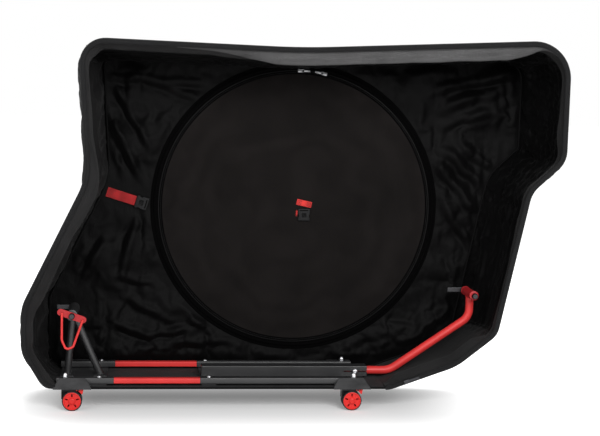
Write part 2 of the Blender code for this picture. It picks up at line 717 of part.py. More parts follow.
def build_casters():
    hood = caster_hood_mesh()
    pedal = caster_pedal_mesh()
    wheels = caster_wheels_mesh()
    for spot, (x, y) in caster_spots().items():
        axle = Vector((x, y, WHEEL_RADIUS))
        stem = axle - Vector((CASTER_TRAIL, 0, 0))
        hood_copy = moved_mesh(hood.copy(), Matrix.Translation((CASTER_TRAIL, 0, 0)))
        add_object("caster_hood_" + spot, hood_copy, BLACK_PAINT, 0.4, place=stem, smooth_angle=35)
        add_object("caster_wheels_" + spot, wheels.copy(), RED, 0.3, place=axle, smooth_angle=35)
        add_object("caster_pedal_" + spot, pedal.copy(), RED, 0.35, place=axle + pedal_pivot())


def build_brackets():
    """Wedges outside the rails, over the casters; the near ones spread and lap over the panel's edge."""
    inner = RAIL_Y + RAIL_WIDTH / 2 + GAP
    low = FLOOR_Z + GAP
    for spot, (x, y) in caster_spots().items():
        if y < 0:
            lip_inner = NEAR_Y - GAP
            section = [(-inner, low), (-inner, RAIL_TOP_Z), (-inner - BRACKET_SHELF, RAIL_TOP_Z),
                       (BRACKET_LIP_Y, BASE_Z), (lip_inner, BASE_Z), (lip_inner, low)]
            length = BRACKET_FOOT / 2
        else:
            section = [(inner, low), (inner, RAIL_TOP_Z), (inner + BRACKET_SHELF, RAIL_TOP_Z),
                       (FAR_BRACKET_Y, low)]
            length = BRACKET_TOP / 2
        block = prism_mesh(section, x - length, x + length, axis="X")
        if length > BRACKET_TOP / 2:
            for side in (-1, 1):
                block = combined_mesh(block, bracket_trim(x, y, side), "DIFFERENCE")
        add_object("caster_bracket_" + spot, block, CHARCOAL, 0.6)


def bracket_trim(x, y, side):
    """What is cut off one end of a near bracket, so that it narrows towards the rail's top."""
    reach = BRACKET_FOOT / 2
    foot, top = BRACKET_FOOT / 2, BRACKET_TOP / 2
    straight_z = BASE_Z + BRACKET_SHELF
    outline = [(x + side * top, RAIL_TOP_Z), (x + side * foot, straight_z),
               (x + side * (foot + reach), straight_z),
               (x + side * (foot + reach), RAIL_TOP_Z + reach), (x + side * top, RAIL_TOP_Z + reach)]
    return prism_mesh(outline, y - reach, y + reach)


# Base frame
def rail_piece(low_x, high_x, y, width, height, wall):
    middle_z = FRAME_Z + RAIL_HEIGHT / 2
    outer = box_mesh((low_x, y - width / 2, middle_z - height / 2),
                     (high_x, y + width / 2, middle_z + height / 2))
    inner = box_mesh((low_x - OVERRUN, y - width / 2 + wall, middle_z - height / 2 + wall),
                     (high_x + OVERRUN, y + width / 2 - wall, middle_z + height / 2 - wall))
    return combined_mesh(outer, inner, "DIFFERENCE")


def build_rails():
    red_width = RAIL_WIDTH - 2 * (RAIL_WALL + GAP)
    red_height = RAIL_HEIGHT - 2 * (RAIL_WALL + GAP)
    rear_screw, front_screw = SCREW_X
    for side, y in (("near", -RAIL_Y), ("far", RAIL_Y)):
        rear_place, front_place = (rear_screw, y, 0), (front_screw, y, 0)
        rear = rail_piece(RAIL_REAR_X, RED_REAR_X, y, RAIL_WIDTH, RAIL_HEIGHT, RAIL_WALL)
        rear = drilled(rear, SCREW_RADIUS + GAP, [rear_place], FRAME_Z, RAIL_TOP_Z)
        add_object("rail_sleeve_rear_" + side, rear, BLACK_PAINT, 0.35, 0.3)
        front = rail_piece(RED_FRONT_X, RAIL_FRONT_X, y, RAIL_WIDTH, RAIL_HEIGHT, RAIL_WALL)
        front = drilled(front, SCREW_RADIUS + GAP, [front_place], FRAME_Z, RAIL_TOP_Z)
        add_object("rail_sleeve_front_" + side, front, BLACK_PAINT, 0.35, 0.3)
        red = rail_piece(RED_REAR_X - RED_INSERT, RED_FRONT_X + RED_INSERT, y, red_width, red_height,
                         RED_WALL)
        red = drilled(red, SCREW_RADIUS + GAP, [rear_place, front_place], FRAME_Z, RAIL_TOP_Z)
        add_object("rail_tube_" + side, red, RED, 0.35, 0.3)


def build_crossbars():
    """A wide plate under the rear stand and two bars under the beam, all carrying the rails."""
    reach = RAIL_Y + RAIL_WIDTH / 2
    half = CROSSBAR_WIDTH / 2
    spans = {"rear_crossplate": (NUT_X[0] - half, SCREW_X[0] + half),
             "middle_crossbar": (SCREW_X[1] - half, SCREW_X[1] + half),
             "front_crossbar": (NUT_X[1] - half, NUT_X[1] + half)}
    for name, (low_x, high_x) in spans.items():
        bar = box_mesh((low_x, -reach, CROSSBAR_Z), (high_x, reach, CROSSBAR_Z + CROSSBAR_THICKNESS))
        places = [(x, y, 0) for x in SCREW_X if low_x < x < high_x for y in (-RAIL_Y, RAIL_Y)]
        bar = drilled(bar, SCREW_RADIUS + GAP, places, CROSSBAR_Z, CROSSBAR_Z + CROSSBAR_THICKNESS)
        add_object(name, bar, BLACK_PAINT, 0.4, 0.3)


def dome(radius, low, height, skirt, steps=8):
    """The right half of a domed head, from its rim to its crown."""
    points = [(radius, low), (radius, low + skirt)]
    for step in range(1, steps + 1):
        angle = math.pi / 2 * step / steps
        points.append((radius * math.cos(angle) if step < steps else 0,
                       low + skirt + (height - skirt) * math.sin(angle)))
    return points


def build_fasteners():
    low = RAIL_TOP_Z + GAP
    screw = [(0, CROSSBAR_Z), (SCREW_RADIUS, CROSSBAR_Z), (SCREW_RADIUS, low)]
    screw += dome(SCREW_HEAD_RADIUS, low, SCREW_HEAD_HEIGHT, 0.001, 4)
    nut = [(0, low)] + dome(NUT_RADIUS, low, NUT_HEIGHT, 0.004, 5)
    for side, y in (("near", -RAIL_Y), ("far", RAIL_Y)):
        for end, screw_x, nut_x in zip(("rear", "front"), SCREW_X, NUT_X):
            add_object(f"rail_screw_{end}_{side}", turned_mesh(screw, "Z", 16), SILVER, 0.25, 1.0,
                       place=(screw_x, y, 0), smooth_angle=35)
            add_object(f"rail_nut_{end}_{side}", turned_mesh(nut, "Z", 18), SILVER, 0.2, 1.0,
                       place=(nut_x, y, 0), smooth_angle=35)


# Central beam and fork stand
def build_beam():
    half = BEAM_WIDTH / 2
    beam = box_mesh((BEAM_REAR_X, -half, FRAME_Z), (BEAM_FRONT_X, half, FRAME_Z + BEAM_HEIGHT), BEAM_EDGE)
    beam = drilled(beam, TUBE_RADIUS + RUN_GAP, [(0, 0, BEAM_AXIS_Z)], BEAM_REAR_X, BEAM_FRONT_X, "X", 32)
    slit = box_mesh((BEAM_FRONT_X - SLIT_LENGTH, -half - OVERRUN, BEAM_AXIS_Z - SLIT_HEIGHT / 2),
                    (BEAM_FRONT_X + OVERRUN, -TUBE_RADIUS / 2, BEAM_AXIS_Z + SLIT_HEIGHT / 2))
    beam = combined_mesh(beam, slit, "DIFFERENCE")
    bolt_x = BEAM_FRONT_X - CLAMP_BOLT_INSET
    beam = drilled(beam, CLAMP_BOLT_RADIUS + GAP, [(bolt_x, 0, BEAM_AXIS_Z)], -half, 0, "Y")
    add_object("central_beam", beam, BLACK_PAINT, 0.35, 0.3, smooth_angle=30)
    tip = TUBE_RADIUS + RUN_GAP
    bolt = [(0, tip), (CLAMP_BOLT_RADIUS, tip), (CLAMP_BOLT_RADIUS, half + GAP)]
    bolt += dome(CLAMP_HEAD_RADIUS, half + GAP, CLAMP_HEAD_HEIGHT, 0.003, 6)
    mesh = moved_mesh(turned_mesh(bolt, "Y", 20), Matrix.Rotation(math.pi, 4, "Z"))
    add_object("clamp_bolt", mesh, SILVER, 0.2, 1.0, place=(bolt_x, 0, BEAM_AXIS_Z), smooth_angle=35)


def bent_route(corners, step_angle=math.radians(6)):
    """Points along straight runs in the XZ plane with a round bend at each inner corner."""
    points = [Vector(corners[0][:2])]
    for index in range(1, len(corners) - 1):
        corner = Vector(corners[index][:2])
        before = (Vector(corners[index - 1][:2]) - corner).normalized()
        after = (Vector(corners[index + 1][:2]) - corner).normalized()
        half_angle = before.angle(after) / 2
        radius = corners[index][2]
        centre = corner + (before + after).normalized() * radius / math.sin(half_angle)
        first = corner + before * radius / math.tan(half_angle) - centre
        last = corner + after * radius / math.tan(half_angle) - centre
        sweep = math.atan2(first.x * last.y - first.y * last.x, first.dot(last))
        start = math.atan2(first.y, first.x)
        steps = max(3, round(abs(sweep) / step_angle))
        points += [Vector(p) for p in arc(centre, radius, start, start + sweep, steps)]
    points.append(Vector(corners[-1][:2]))
    return points


def build_fork_stand():
    route = bent_route([
        (BEAM_FRONT_X - TUBE_IN_BEAM, BEAM_AXIS_Z, 0),
        (LOW_BEND_X, BEAM_AXIS_Z, LOW_BEND_RADIUS),
        (HIGH_BEND_X, HIGH_BEND_Z, HIGH_BEND_RADIUS),
        (HIGH_BEND_X, FORK_HUB_Z, 0),
    ])
    tube = tube_mesh([(p.x, 0, p.y) for p in route], TUBE_RADIUS, 6)
    hub_place = (HIGH_BEND_X, 0, FORK_HUB_Z)
    tube = drilled(tube, FORK_HUB_RADIUS + GAP, [hub_place], -TUBE_RADIUS, TUBE_RADIUS, "Y", 32)
    add_object("fork_stand", tube, DARK_RED, 0.3, 0.3, smooth_angle=35)
    build_hub("fork", HIGH_BEND_X, FORK_HUB_Z, FORK_HUB_WIDTH, FORK_HUB_RADIUS, DARK_RED, 0.0)


def hub_mesh(width, radius):
    bore = SKEWER_RADIUS + RUN_GAP
    profile = [(bore, -width / 2), (radius - HUB_EDGE, -width / 2), (radius, -width / 2 + HUB_EDGE),
               (radius, width / 2 - HUB_EDGE), (radius - HUB_EDGE, width / 2), (bore, width / 2)]
    return turned_mesh(profile, "Y", 28)


def skewer_mesh(half_span, near_extra):
    """A quick-release axle: a knurled nut at its near end and a lever's eye at its far end."""
    near_face = half_span + DROPOUT_ROOM + near_extra
    eye_y = half_span + DROPOUT_ROOM + LEVER_BOSS_RADIUS
    nut_end = -near_face - SKEWER_NUT_LENGTH
    neck = EYE_THICKNESS / 2
    shoulder = half_span + DROPOUT_ROOM - HUB_EDGE
    profile = [(0, nut_end), (SKEWER_NUT_RADIUS - HUB_EDGE, nut_end), (SKEWER_NUT_RADIUS, nut_end + HUB_EDGE),
               (SKEWER_NUT_RADIUS, -near_face), (SKEWER_RADIUS, -near_face), (SKEWER_RADIUS, shoulder),
               (neck, shoulder + HUB_EDGE / 2), (neck, eye_y), (0, eye_y)]
    rod = turned_mesh(profile, "Y", 20)
    half_eye = EYE_THICKNESS / 2
    eye = moved_mesh(rod_mesh(EYE_RADIUS, -half_eye, half_eye, "Z", 20), Matrix.Translation((0, eye_y, 0)))
    rod = combined_mesh(rod, eye, "UNION")
    rod = drilled(rod, LEVER_PIN_RADIUS + RUN_GAP, [(0, eye_y, 0)], -half_eye, half_eye, "Z", 12)
    return rod, eye_y


def lever_mesh():
    """The lever, with its pivot at the origin and its arm along -X when it is closed."""
    half = LEVER_BOSS_LENGTH / 2
    boss = rod_mesh(LEVER_BOSS_RADIUS - RUN_GAP, -half, half, "Z", 24)
    arm = box_mesh((-LEVER_LENGTH, -LEVER_THICKNESS / 2, -LEVER_WIDTH / 2),
                   (-EYE_RADIUS - RUN_GAP, LEVER_THICKNESS / 2, LEVER_WIDTH / 2), LEVER_EDGE)
    lever = combined_mesh(boss, arm, "UNION")
    slot_half = EYE_THICKNESS / 2 + RUN_GAP
    back = EYE_RADIUS + RUN_GAP
    slot = box_mesh((-back, -LEVER_BOSS_RADIUS, -slot_half),
                    (LEVER_BOSS_RADIUS, LEVER_BOSS_RADIUS, slot_half))
    lever = combined_mesh(lever, slot, "DIFFERENCE")
    pin = rod_mesh(LEVER_PIN_RADIUS, -half + HUB_EDGE, half - HUB_EDGE, "Z", 12)
    return combined_mesh(lever, pin, "UNION")


def build_hub(prefix, x, z, width, radius, colour, near_extra):
    add_object(prefix + "_hub", hub_mesh(width, radius), colour, 0.35, 0.3, place=(x, 0, z), smooth_angle=35)
    skewer, eye_y = skewer_mesh(width / 2, near_extra)
    add_object(prefix + "_skewer", skewer, BLACK_PAINT, 0.3, 0.8, place=(x, 0, z), smooth_angle=35)
    add_object(prefix + "_lever", lever_mesh(), BLACK_PAINT, 0.35, 0.6, place=(x, eye_y, z), smooth_angle=35)


# Rear stand and derailleur guard
def build_rear_stand():
    foot_z = FRAME_Z
    top = REAR_HUB_Z
    parts = []
    for x in (NUT_X[0], SCREW_X[0]):
        parts.append(box_mesh((x - FOOT_LENGTH / 2, -FOOT_WIDTH / 2, foot_z),
                              (x + FOOT_LENGTH / 2, FOOT_WIDTH / 2, foot_z + FOOT_THICKNESS), FOOT_EDGE))
        parts.append(tube_mesh([(x, 0, foot_z + FOOT_THICKNESS / 2), (REAR_HUB_X, 0, top)], LEG_RADIUS, 5))
    stand = parts[0]
    for piece in parts[1:]:
        stand = combined_mesh(stand, piece, "UNION")
    hub_place = (REAR_HUB_X, 0, REAR_HUB_Z)
    stand = drilled(stand, REAR_HUB_RADIUS + GAP, [hub_place], -LEG_RADIUS, LEG_RADIUS, "Y", 32)
    room = REAR_HUB_Z
    for low_z, high_z in ((REAR_HUB_Z, REAR_HUB_Z + room), (foot_z - room, foot_z)):
        trim = box_mesh((REAR_HUB_X - room, -room, low_z), (REAR_HUB_X + room, room, high_z))
        stand = combined_mesh(stand, trim, "DIFFERENCE")
    add_object("rear_stand", stand, BLACK_PAINT, 0.4, 0.3, smooth_angle=35)
    build_hub("rear", REAR_HUB_X, REAR_HUB_Z, REAR_HUB_WIDTH, REAR_HUB_RADIUS, BLACK_PAINT,
              GUARD_PLATE_THICKNESS + 2 * GAP)


def build_guard():
    half_span = REAR_HUB_WIDTH / 2 + DROPOUT_ROOM
    back = -half_span - GAP
    front = back - GUARD_PLATE_THICKNESS
    round_end = GUARD_PLATE_HEIGHT / 2
    straight = GUARD_PLATE_LENGTH / 2 - round_end
    outline = arc((straight, 0), round_end, -math.pi / 2, math.pi / 2, 10)
    outline += arc((-straight, 0), round_end, math.pi / 2, 3 * math.pi / 2, 10)
    plate = moved_mesh(prism_mesh(outline, front, back), Matrix.Rotation(-GUARD_TILT, 4, "Y"))
    plate = drilled(plate, SKEWER_RADIUS + RUN_GAP, [(0, 0, 0)], front, back, "Y")
    axle = (REAR_HUB_X, 0, REAR_HUB_Z)
    add_object("guard_plate", plate, DARK_RED, 0.4, 0.3, place=axle, smooth_angle=35)
    rod_y = front - GAP - GUARD_ROD_RADIUS
    lean = math.tan(GUARD_TILT)
    route = bent_route([
        (GUARD_REAR_LEG, lean * GUARD_REAR_LEG, 0),
        *GUARD_BENDS,
        (GUARD_FRONT_LEG, lean * GUARD_FRONT_LEG, 0),
    ], math.radians(15))
    hoop = tube_mesh([(p.x, rod_y, p.y) for p in route], GUARD_ROD_RADIUS, 3)
    add_object("guard_hoop", hoop, RED, 0.3, 0.2, place=axle, smooth_angle=60)


def main():
    for item in list(bpy.data.objects):
        bpy.data.objects.remove(item)
    build_walls()
    build_floor_panel()
    build_far_panel()
    build_zip()
    build_pocket()
    build_pocket_tab()
    build_rear_strap()
    build_handle()
    build_casters()
    build_brackets()
    build_rails()
    build_crossbars()
    build_fasteners()
    build_beam()
    build_fork_stand()
    build_rear_stand()
    build_guard()


main()
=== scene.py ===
import math

import bmesh
import bpy
import numpy as np
from mathutils import Matrix, Vector, bvhtree, geometry, noise


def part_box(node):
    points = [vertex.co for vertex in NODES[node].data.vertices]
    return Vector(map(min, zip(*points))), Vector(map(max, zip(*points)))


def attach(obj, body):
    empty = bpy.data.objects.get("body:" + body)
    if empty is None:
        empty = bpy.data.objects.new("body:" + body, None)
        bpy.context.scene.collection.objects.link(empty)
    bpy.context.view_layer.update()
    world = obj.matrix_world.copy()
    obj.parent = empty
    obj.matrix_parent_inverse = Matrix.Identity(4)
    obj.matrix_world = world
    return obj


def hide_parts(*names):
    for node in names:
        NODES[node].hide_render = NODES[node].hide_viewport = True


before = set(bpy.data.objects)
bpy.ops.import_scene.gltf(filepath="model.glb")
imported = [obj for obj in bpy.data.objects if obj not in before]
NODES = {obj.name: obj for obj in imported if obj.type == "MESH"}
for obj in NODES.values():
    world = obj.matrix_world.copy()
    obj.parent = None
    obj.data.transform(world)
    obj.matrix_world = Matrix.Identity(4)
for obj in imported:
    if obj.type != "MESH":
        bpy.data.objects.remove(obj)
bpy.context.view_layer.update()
scene = bpy.context.scene
scene.view_settings.view_transform = "Standard"

# Case outline, seen from the open side: x, z and corner radius, as in the CAD
BASE_Z = 0.0530
NEAR_Y, FAR_Y = -0.1385, 0.1400
DEPTH = FAR_Y - NEAR_Y
WALL = 0.003
RIM = (
    (-0.612, BASE_Z, 0.045), (0.235, BASE_Z, 0.060), (0.402, BASE_Z + 0.058, 0.15),
    (0.503, BASE_Z + 0.137, 0.05), (0.579, BASE_Z + 0.4945, 0.07), (0.664, BASE_Z + 0.572, 0.06),
    (0.667, BASE_Z + 0.8705, 0.09), (0.0, BASE_Z + 0.8355, 2.0), (-0.537, BASE_Z + 0.8485, 0.06),
    (-0.517, BASE_Z + 0.5095, 0.15), (-0.667, BASE_Z + 0.2005, 0.09), (-0.667, BASE_Z + 0.092, 0.08),
)
HEEL, RAMP_START, TOE, TOP_FRONT, TOP_REAR = 0, 1, 3, 6, 8
TAPERS = (0.0, 0.003, 0.015, 0.045, 0.045, 0.045, 0.035, 0.035, 0.045, 0.045, 0.045, 0.006)
TAPER_POWER = 3

# Wheel pocket on the closed side
POCKET = Vector((0.017, 0.0, 0.483))
POCKET_R = 0.366


# Outlines
def inset_corners(insets):
    """Corners of the outline with each edge moved in, and their radii."""
    count = len(RIM)
    lines = []
    for i in range(count):
        start, stop = Vector(RIM[i][:2]), Vector(RIM[(i + 1) % count][:2])
        along = (stop - start).normalized()
        inward = Vector((-along.y, along.x))
        lines.append((start + inward * insets[i], along))
    corners = []
    for i in range(count):
        (p, a), (q, b) = lines[i - 1], lines[i]
        cross = a.x * b.y - a.y * b.x
        offset = q - p
        travel = (offset.x * b.y - offset.y * b.x) / cross
        shift = min(insets[i - 1], insets[i])
        corners.append((p + a * travel, max(RIM[i][2] + (-shift if cross > 0 else shift), 0.004)))
    return corners


def corner_arcs(corners):
    """Centre, first and last spoke of the arc at each corner."""
    count = len(corners)
    arcs = []
    for i, (corner, radius) in enumerate(corners):
        before = (corners[i - 1][0] - corner).normalized()
        after = (corners[(i + 1) % count][0] - corner).normalized()
        half = before.angle(after) / 2
        centre = corner + (before + after).normalized() * radius / math.sin(half)
        reach = radius / math.tan(half)
        arcs.append((centre, corner + before * reach - centre, corner + after * reach - centre))
    return arcs


def turn_of(first, last):
    return math.atan2(first.x * last.y - first.y * last.x, first.dot(last))


def outline_steps(spacing):
    """Steps in each arc and on each edge that follows, from the near outline."""
    arcs = corner_arcs(inset_corners([0.0] * len(RIM)))
    steps = []
    for (centre, first, last), following in zip(arcs, arcs[1:] + arcs[:1]):
        sweep = abs(turn_of(first, last)) * first.length
        edge = (following[0] + following[1] - centre - last).length
        steps.append((2 * max(2, round(sweep / spacing / 2)), max(2, round(edge / spacing))))
    return steps


def outline(insets):
    """Points of the outline with each edge moved in."""
    arcs = corner_arcs(inset_corners(insets))
    points = []
    for (arc_count, edge_count), (centre, first, last), following in zip(STEPS, arcs, arcs[1:] + arcs[:1]):
        sweep = turn_of(first, last)
        for k in range(arc_count + 1):
            c, s = math.cos(sweep * k / arc_count), math.sin(sweep * k / arc_count)
            points.append((centre.x + first.x * c - first.y * s, centre.y + first.x * s + first.y * c))
        a, b = centre + last, following[0] + following[1]
        points += [tuple(a.lerp(b, k / edge_count)) for k in range(1, edge_count)]
    return np.array(points)


def arc_index(corner, share):
    """Index of a point of a corner's arc: 0 is its start, 1 its middle and 2 its stop."""
    return sum(a + e for a, e in STEPS[:corner]) + STEPS[corner][0] * share // 2


def at_depth(flat, y):
    """Points of an x, z outline at this depth."""
    return np.stack([flat[:, 0], np.full(len(flat), y), flat[:, 1]], axis=1)


def tapered(inset):
    return [t + inset for t in TAPERS]


def wall_grid(inset, shares):
    """Rows of points of the wall at this inset, from the near edge to the far side."""
    near, far = outline([inset] * len(RIM)), outline(tapered(inset))
    return np.array([at_depth(near + (far - near) * share ** TAPER_POWER, NEAR_Y + DEPTH * share)
                     for share in shares])


def distances(path):
    """Distance from a path's start to each of its points."""
    return np.concatenate([[0], np.cumsum(np.linalg.norm(np.diff(path, axis=0), axis=1))])


def sampled(path, travel, places):
    """A path's coordinates at these distances along it."""
    return np.stack([np.interp(places, travel, path[:, j]) for j in range(3)], axis=-1)


def unit(vectors):
    return vectors / np.linalg.norm(vectors, axis=-1, keepdims=True)


def climb(values, low, span):
    """Zero up to low, then rising to one over span."""
    return np.clip((values - low) / span, 0, 1)


# Mesh helpers
def linked(name, data):
    obj = bpy.data.objects.new(name, data)
    scene.collection.objects.link(obj)
    return obj


def mesh_object(name, points, faces):
    mesh = bpy.data.meshes.new(name)
    mesh.from_pydata([tuple(p) for p in points], [], faces)
    mesh.update()
    return linked(name, mesh)


def from_bmesh(name, bm):
    mesh = bpy.data.meshes.new(name)
    bm.to_mesh(mesh)
    bm.free()
    return linked(name, mesh)


def grid_faces(rows, columns, closed=False):
    """Faces of a grid; closed joins its last column to its first."""
    faces = []
    for low in range(0, (rows - 1) * columns, columns):
        high = low + columns
        for c in range(columns if closed else columns - 1):
            d = (c + 1) % columns
            faces.append((low + c, low + d, high + d, high + c))
    return faces


def end_caps(rows, sides):
    """Faces that close the first and the last ring of a closed grid."""
    return [tuple(reversed(range(sides))), tuple(range((rows - 1) * sides, rows * sides))]


def end_joint(rows, sides):
    """Faces that join the last ring of a closed grid to its first."""
    last = (rows - 1) * sides
    return [(last + k, last + (k + 1) % sides, (k + 1) % sides, k) for k in range(sides)]


def smooth(obj, angle=50):
    for polygon in obj.data.polygons:
        polygon.use_smooth = True
    obj.data.set_sharp_from_angle(angle=math.radians(angle))
    return obj


def facing_out(obj):
    bm = bmesh.new()
    bm.from_mesh(obj.data)
    bmesh.ops.recalc_face_normals(bm, faces=bm.faces)
    bm.to_mesh(obj.data)
    bm.free()
    return obj


def solid(name, points, faces, angle=50):
    """A mesh with its faces turned out, shaded smooth up to this angle."""
    return smooth(facing_out(mesh_object(name, points, faces)), angle)


def modified(obj, name, kind, **settings):
    modifier = obj.modifiers.new(name, kind)
    for key, value in settings.items():
        setattr(modifier, key, value)
    return obj


def bevel(obj, width, segments):
    return modified(obj, "edges", "BEVEL", width=width, segments=segments, limit_method="ANGLE",
                    angle_limit=math.radians(30), use_clamp_overlap=True)


def thicken(obj, thickness):
    return modified(obj, "thickness", "SOLIDIFY", thickness=thickness, offset=0.0, use_even_offset=False)


def cloth_sheet(name, grid, thickness, closed=False):
    """A grid of points as a sheet of cloth."""
    rows, columns = grid.shape[:2]
    return thicken(solid(name, grid.reshape(-1, 3), grid_faces(rows, columns, closed), 180), thickness)


def tube(name, points, radius, sides=10, closed=False):
    """A round tube along points, of one radius or one for each, with rings that do not twist."""
    points = [Vector(p) for p in points]
    count = len(points)
    rings = []
    side = None
    for i, (point, r) in enumerate(zip(points, np.broadcast_to(radius, count))):
        before = points[i - 1] if i or closed else point
        after = points[(i + 1) % count] if i < count - 1 or closed else point
        along = (after - before).normalized()
        if side is None:
            side = along.orthogonal().normalized()
        side = (side - along * side.dot(along)).normalized()
        up = along.cross(side)
        rings += [point + (side * math.cos(a) + up * math.sin(a)) * r
                  for a in (2 * math.pi * k / sides for k in range(sides))]
    ends = end_joint if closed else end_caps
    return solid(name, rings, grid_faces(count, sides, closed=True) + ends(count, sides))


def joined(name, objects):
    """Several objects of this script made one."""
    bm = bmesh.new()
    for obj in objects:
        data = obj.data.copy()
        data.transform(obj.matrix_world)
        bm.from_mesh(data)
        bpy.data.meshes.remove(data)
        bpy.data.objects.remove(obj)
    return from_bmesh(name, bm)


# Rings of one stitch: place along it, width and height
STITCH = ((0.0, 0.35, -0.6), (0.25, 1.0, 0.35), (0.75, 1.0, 0.35), (1.0, 0.35, -0.6))
STITCH_SIDES = 6
STITCH_FACES = grid_faces(len(STITCH), STITCH_SIDES, closed=True) + end_caps(len(STITCH), STITCH_SIDES)


def stitches(name, path, lift, length=0.0036, pitch=0.0058, radius=0.00045):
    """Short thread stitches along a path of points; lift is the outward normal at each point."""
    path = np.array([tuple(p) for p in path], float)
    lift = np.broadcast_to(np.array(lift, float), path.shape)
    travel = distances(path)
    points, faces = [], []
    for k in range(int((travel[-1] - length) / pitch) + 1):
        ends = (k * pitch, k * pitch + length)
        a, b = (sampled(path, travel, place) for place in ends)
        up = sampled(lift, travel, sum(ends) / 2)
        along = (b - a) / max(np.linalg.norm(b - a), 1e-9)
        up = up - along * up.dot(along)
        up /= max(np.linalg.norm(up), 1e-9)
        side = np.cross(along, up)
        faces += [tuple(len(points) + i for i in face) for face in STITCH_FACES]
        for share, swell, rise in STITCH:
            middle = a + (b - a) * share + up * radius * rise
            for angle in range(0, 360, 360 // STITCH_SIDES):
                turn = math.radians(angle)
                points.append(middle + (side * math.cos(turn) + up * math.sin(turn)) * radius * swell)
    return solid(name, points, faces, 80)


def field(points, scale, seed=0.0, stretch=(1, 1, 1), octaves=3):
    """Smooth noise from -1 to 1 at each point."""
    start = Vector((seed, -seed, seed / 2))
    places = (Vector([a * b for a, b in zip(p, stretch)]) / scale + start for p in points)
    return np.array([noise.fractal(place, 0.6, 2.1, octaves) for place in places])


# Materials
class Graph:
    """Short names for adding nodes to a tree."""

    def __init__(self, tree):
        self.tree = tree
        self.place = self.node("ShaderNodeTexCoord", {}).outputs["Object"]

    def node(self, kind, inputs, **settings):
        """A node with these settings, and inputs by name or index."""
        node = self.tree.nodes.new(kind)
        for key, value in settings.items():
            setattr(node, key, value)
        for key, value in inputs.items():
            self.put(node.inputs[key], value)
        return node

    def put(self, socket, value):
        if isinstance(value, bpy.types.NodeSocket):
            self.tree.links.new(value, socket)
        else:
            socket.default_value = value

    def mapped(self, scale, turn=(0, 0, 0)):
        inputs = {"Vector": self.place, "Scale": scale, "Rotation": turn}
        return self.node("ShaderNodeMapping", inputs).outputs["Vector"]

    def noise(self, scale, detail=3.0, rough=0.5, vector=None, distortion=0.0):
        inputs = {"Vector": vector or self.place, "Scale": scale, "Detail": detail, "Roughness": rough,
                  "Distortion": distortion}
        return self.node("ShaderNodeTexNoise", inputs).outputs["Fac"]

    def wave(self, period, axis):
        inputs = {"Vector": self.place, "Scale": math.pi / (10 * period)}
        return self.node("ShaderNodeTexWave", inputs, bands_direction=axis).outputs["Fac"]

    def math(self, operation, a, b=0.0, clamp=False):
        return self.node("ShaderNodeMath", {0: a, 1: b}, operation=operation, use_clamp=clamp).outputs[0]

    def ramp(self, value, stops):
        node = self.node("ShaderNodeValToRGB", {"Fac": value})
        for element, (place, colour) in zip(node.color_ramp.elements, stops, strict=True):
            element.position = place
            element.color = (*colour, 1.0)
        return node.outputs["Color"]

    def mix(self, factor, a, b, blend="MIX"):
        inputs = {0: factor, 6: a, 7: b}
        return self.node("ShaderNodeMix", inputs, data_type="RGBA", blend_type=blend).outputs[2]

    def span(self, value, low, high):
        inputs = {"Value": value, "To Min": low, "To Max": high}
        return self.node("ShaderNodeMapRange", inputs).outputs["Result"]

    def bump(self, height, strength, distance, **normal):
        inputs = {"Height": height, "Strength": strength, "Distance": distance, **normal}
        return self.node("ShaderNodeBump", inputs).outputs["Normal"]

    def highest(self, a, b, c):
        return self.math("MAXIMUM", self.math("MAXIMUM", a, b), c)

    def weave(self, period):
        """Crossing threads on any face: products of fine bands along the three axes."""
        x, y, z = (self.wave(period, axis) for axis in "XYZ")
        return self.highest(*(self.math("MULTIPLY", a, b) for a, b in ((x, y), (y, z), (x, z))))

    def seen_rays(self):
        """One for the rays that show what they meet, zero for those that only light it."""
        paths = self.node("ShaderNodeLightPath", {}).outputs
        return self.highest(*(paths[f"Is {kind} Ray"] for kind in ("Camera", "Glossy", "Transmission")))


class Surface(Graph):
    """A new material and its graph."""

    def __init__(self, name):
        self.material = bpy.data.materials.new(name)
        self.material.use_nodes = True
        super().__init__(self.material.node_tree)

    def done(self, **inputs):
        """The material, with these inputs of its shader."""
        for key, value in inputs.items():
            self.put(self.tree.nodes["Principled BSDF"].inputs[key.replace("_", " ")], value)
        return self.material


def tone_pair(colour, low_place, low, high_place, high):
    """Two stops of a ramp: darker and lighter tones of a colour."""
    return [(place, tuple(min(1.0, c * amount) for c in colour)) for place, amount in
            ((low_place, low), (high_place, high))]


def fabric(name, colour, period, rough, sheen, crease, weave, fade=1.5, gloss=0.12):
    """Woven nylon: threads, fine creases, uneven dye and rubbed high spots."""
    g = Surface(name)
    cloud = g.noise(9.0, 4.0)
    dust = g.noise(160.0, 3.0, 0.7)
    threads = g.weave(period)
    light = g.ramp(threads, tone_pair((1, 1, 1), 0.0, 0.45, 0.6, 1.0))
    creases = g.noise(26.0, 4.0, 0.6, g.mapped((1.0, 1.0, 0.45), (0.3, 0.5, 0.2)), 0.8)
    return g.done(
        Base_Color=g.mix(0.55, g.ramp(cloud, tone_pair(colour, 0.3, 0.8, 0.72, fade)), light, "MULTIPLY"),
        Roughness=g.span(g.math("ADD", cloud, g.math("MULTIPLY", dust, 0.5)), rough - 0.12, rough + 0.12),
        Sheen_Weight=sheen, Sheen_Roughness=0.45, Specular_IOR_Level=gloss,
        Normal=g.bump(threads, weave, 0.0004, Normal=g.bump(creases, crease, 0.004)))


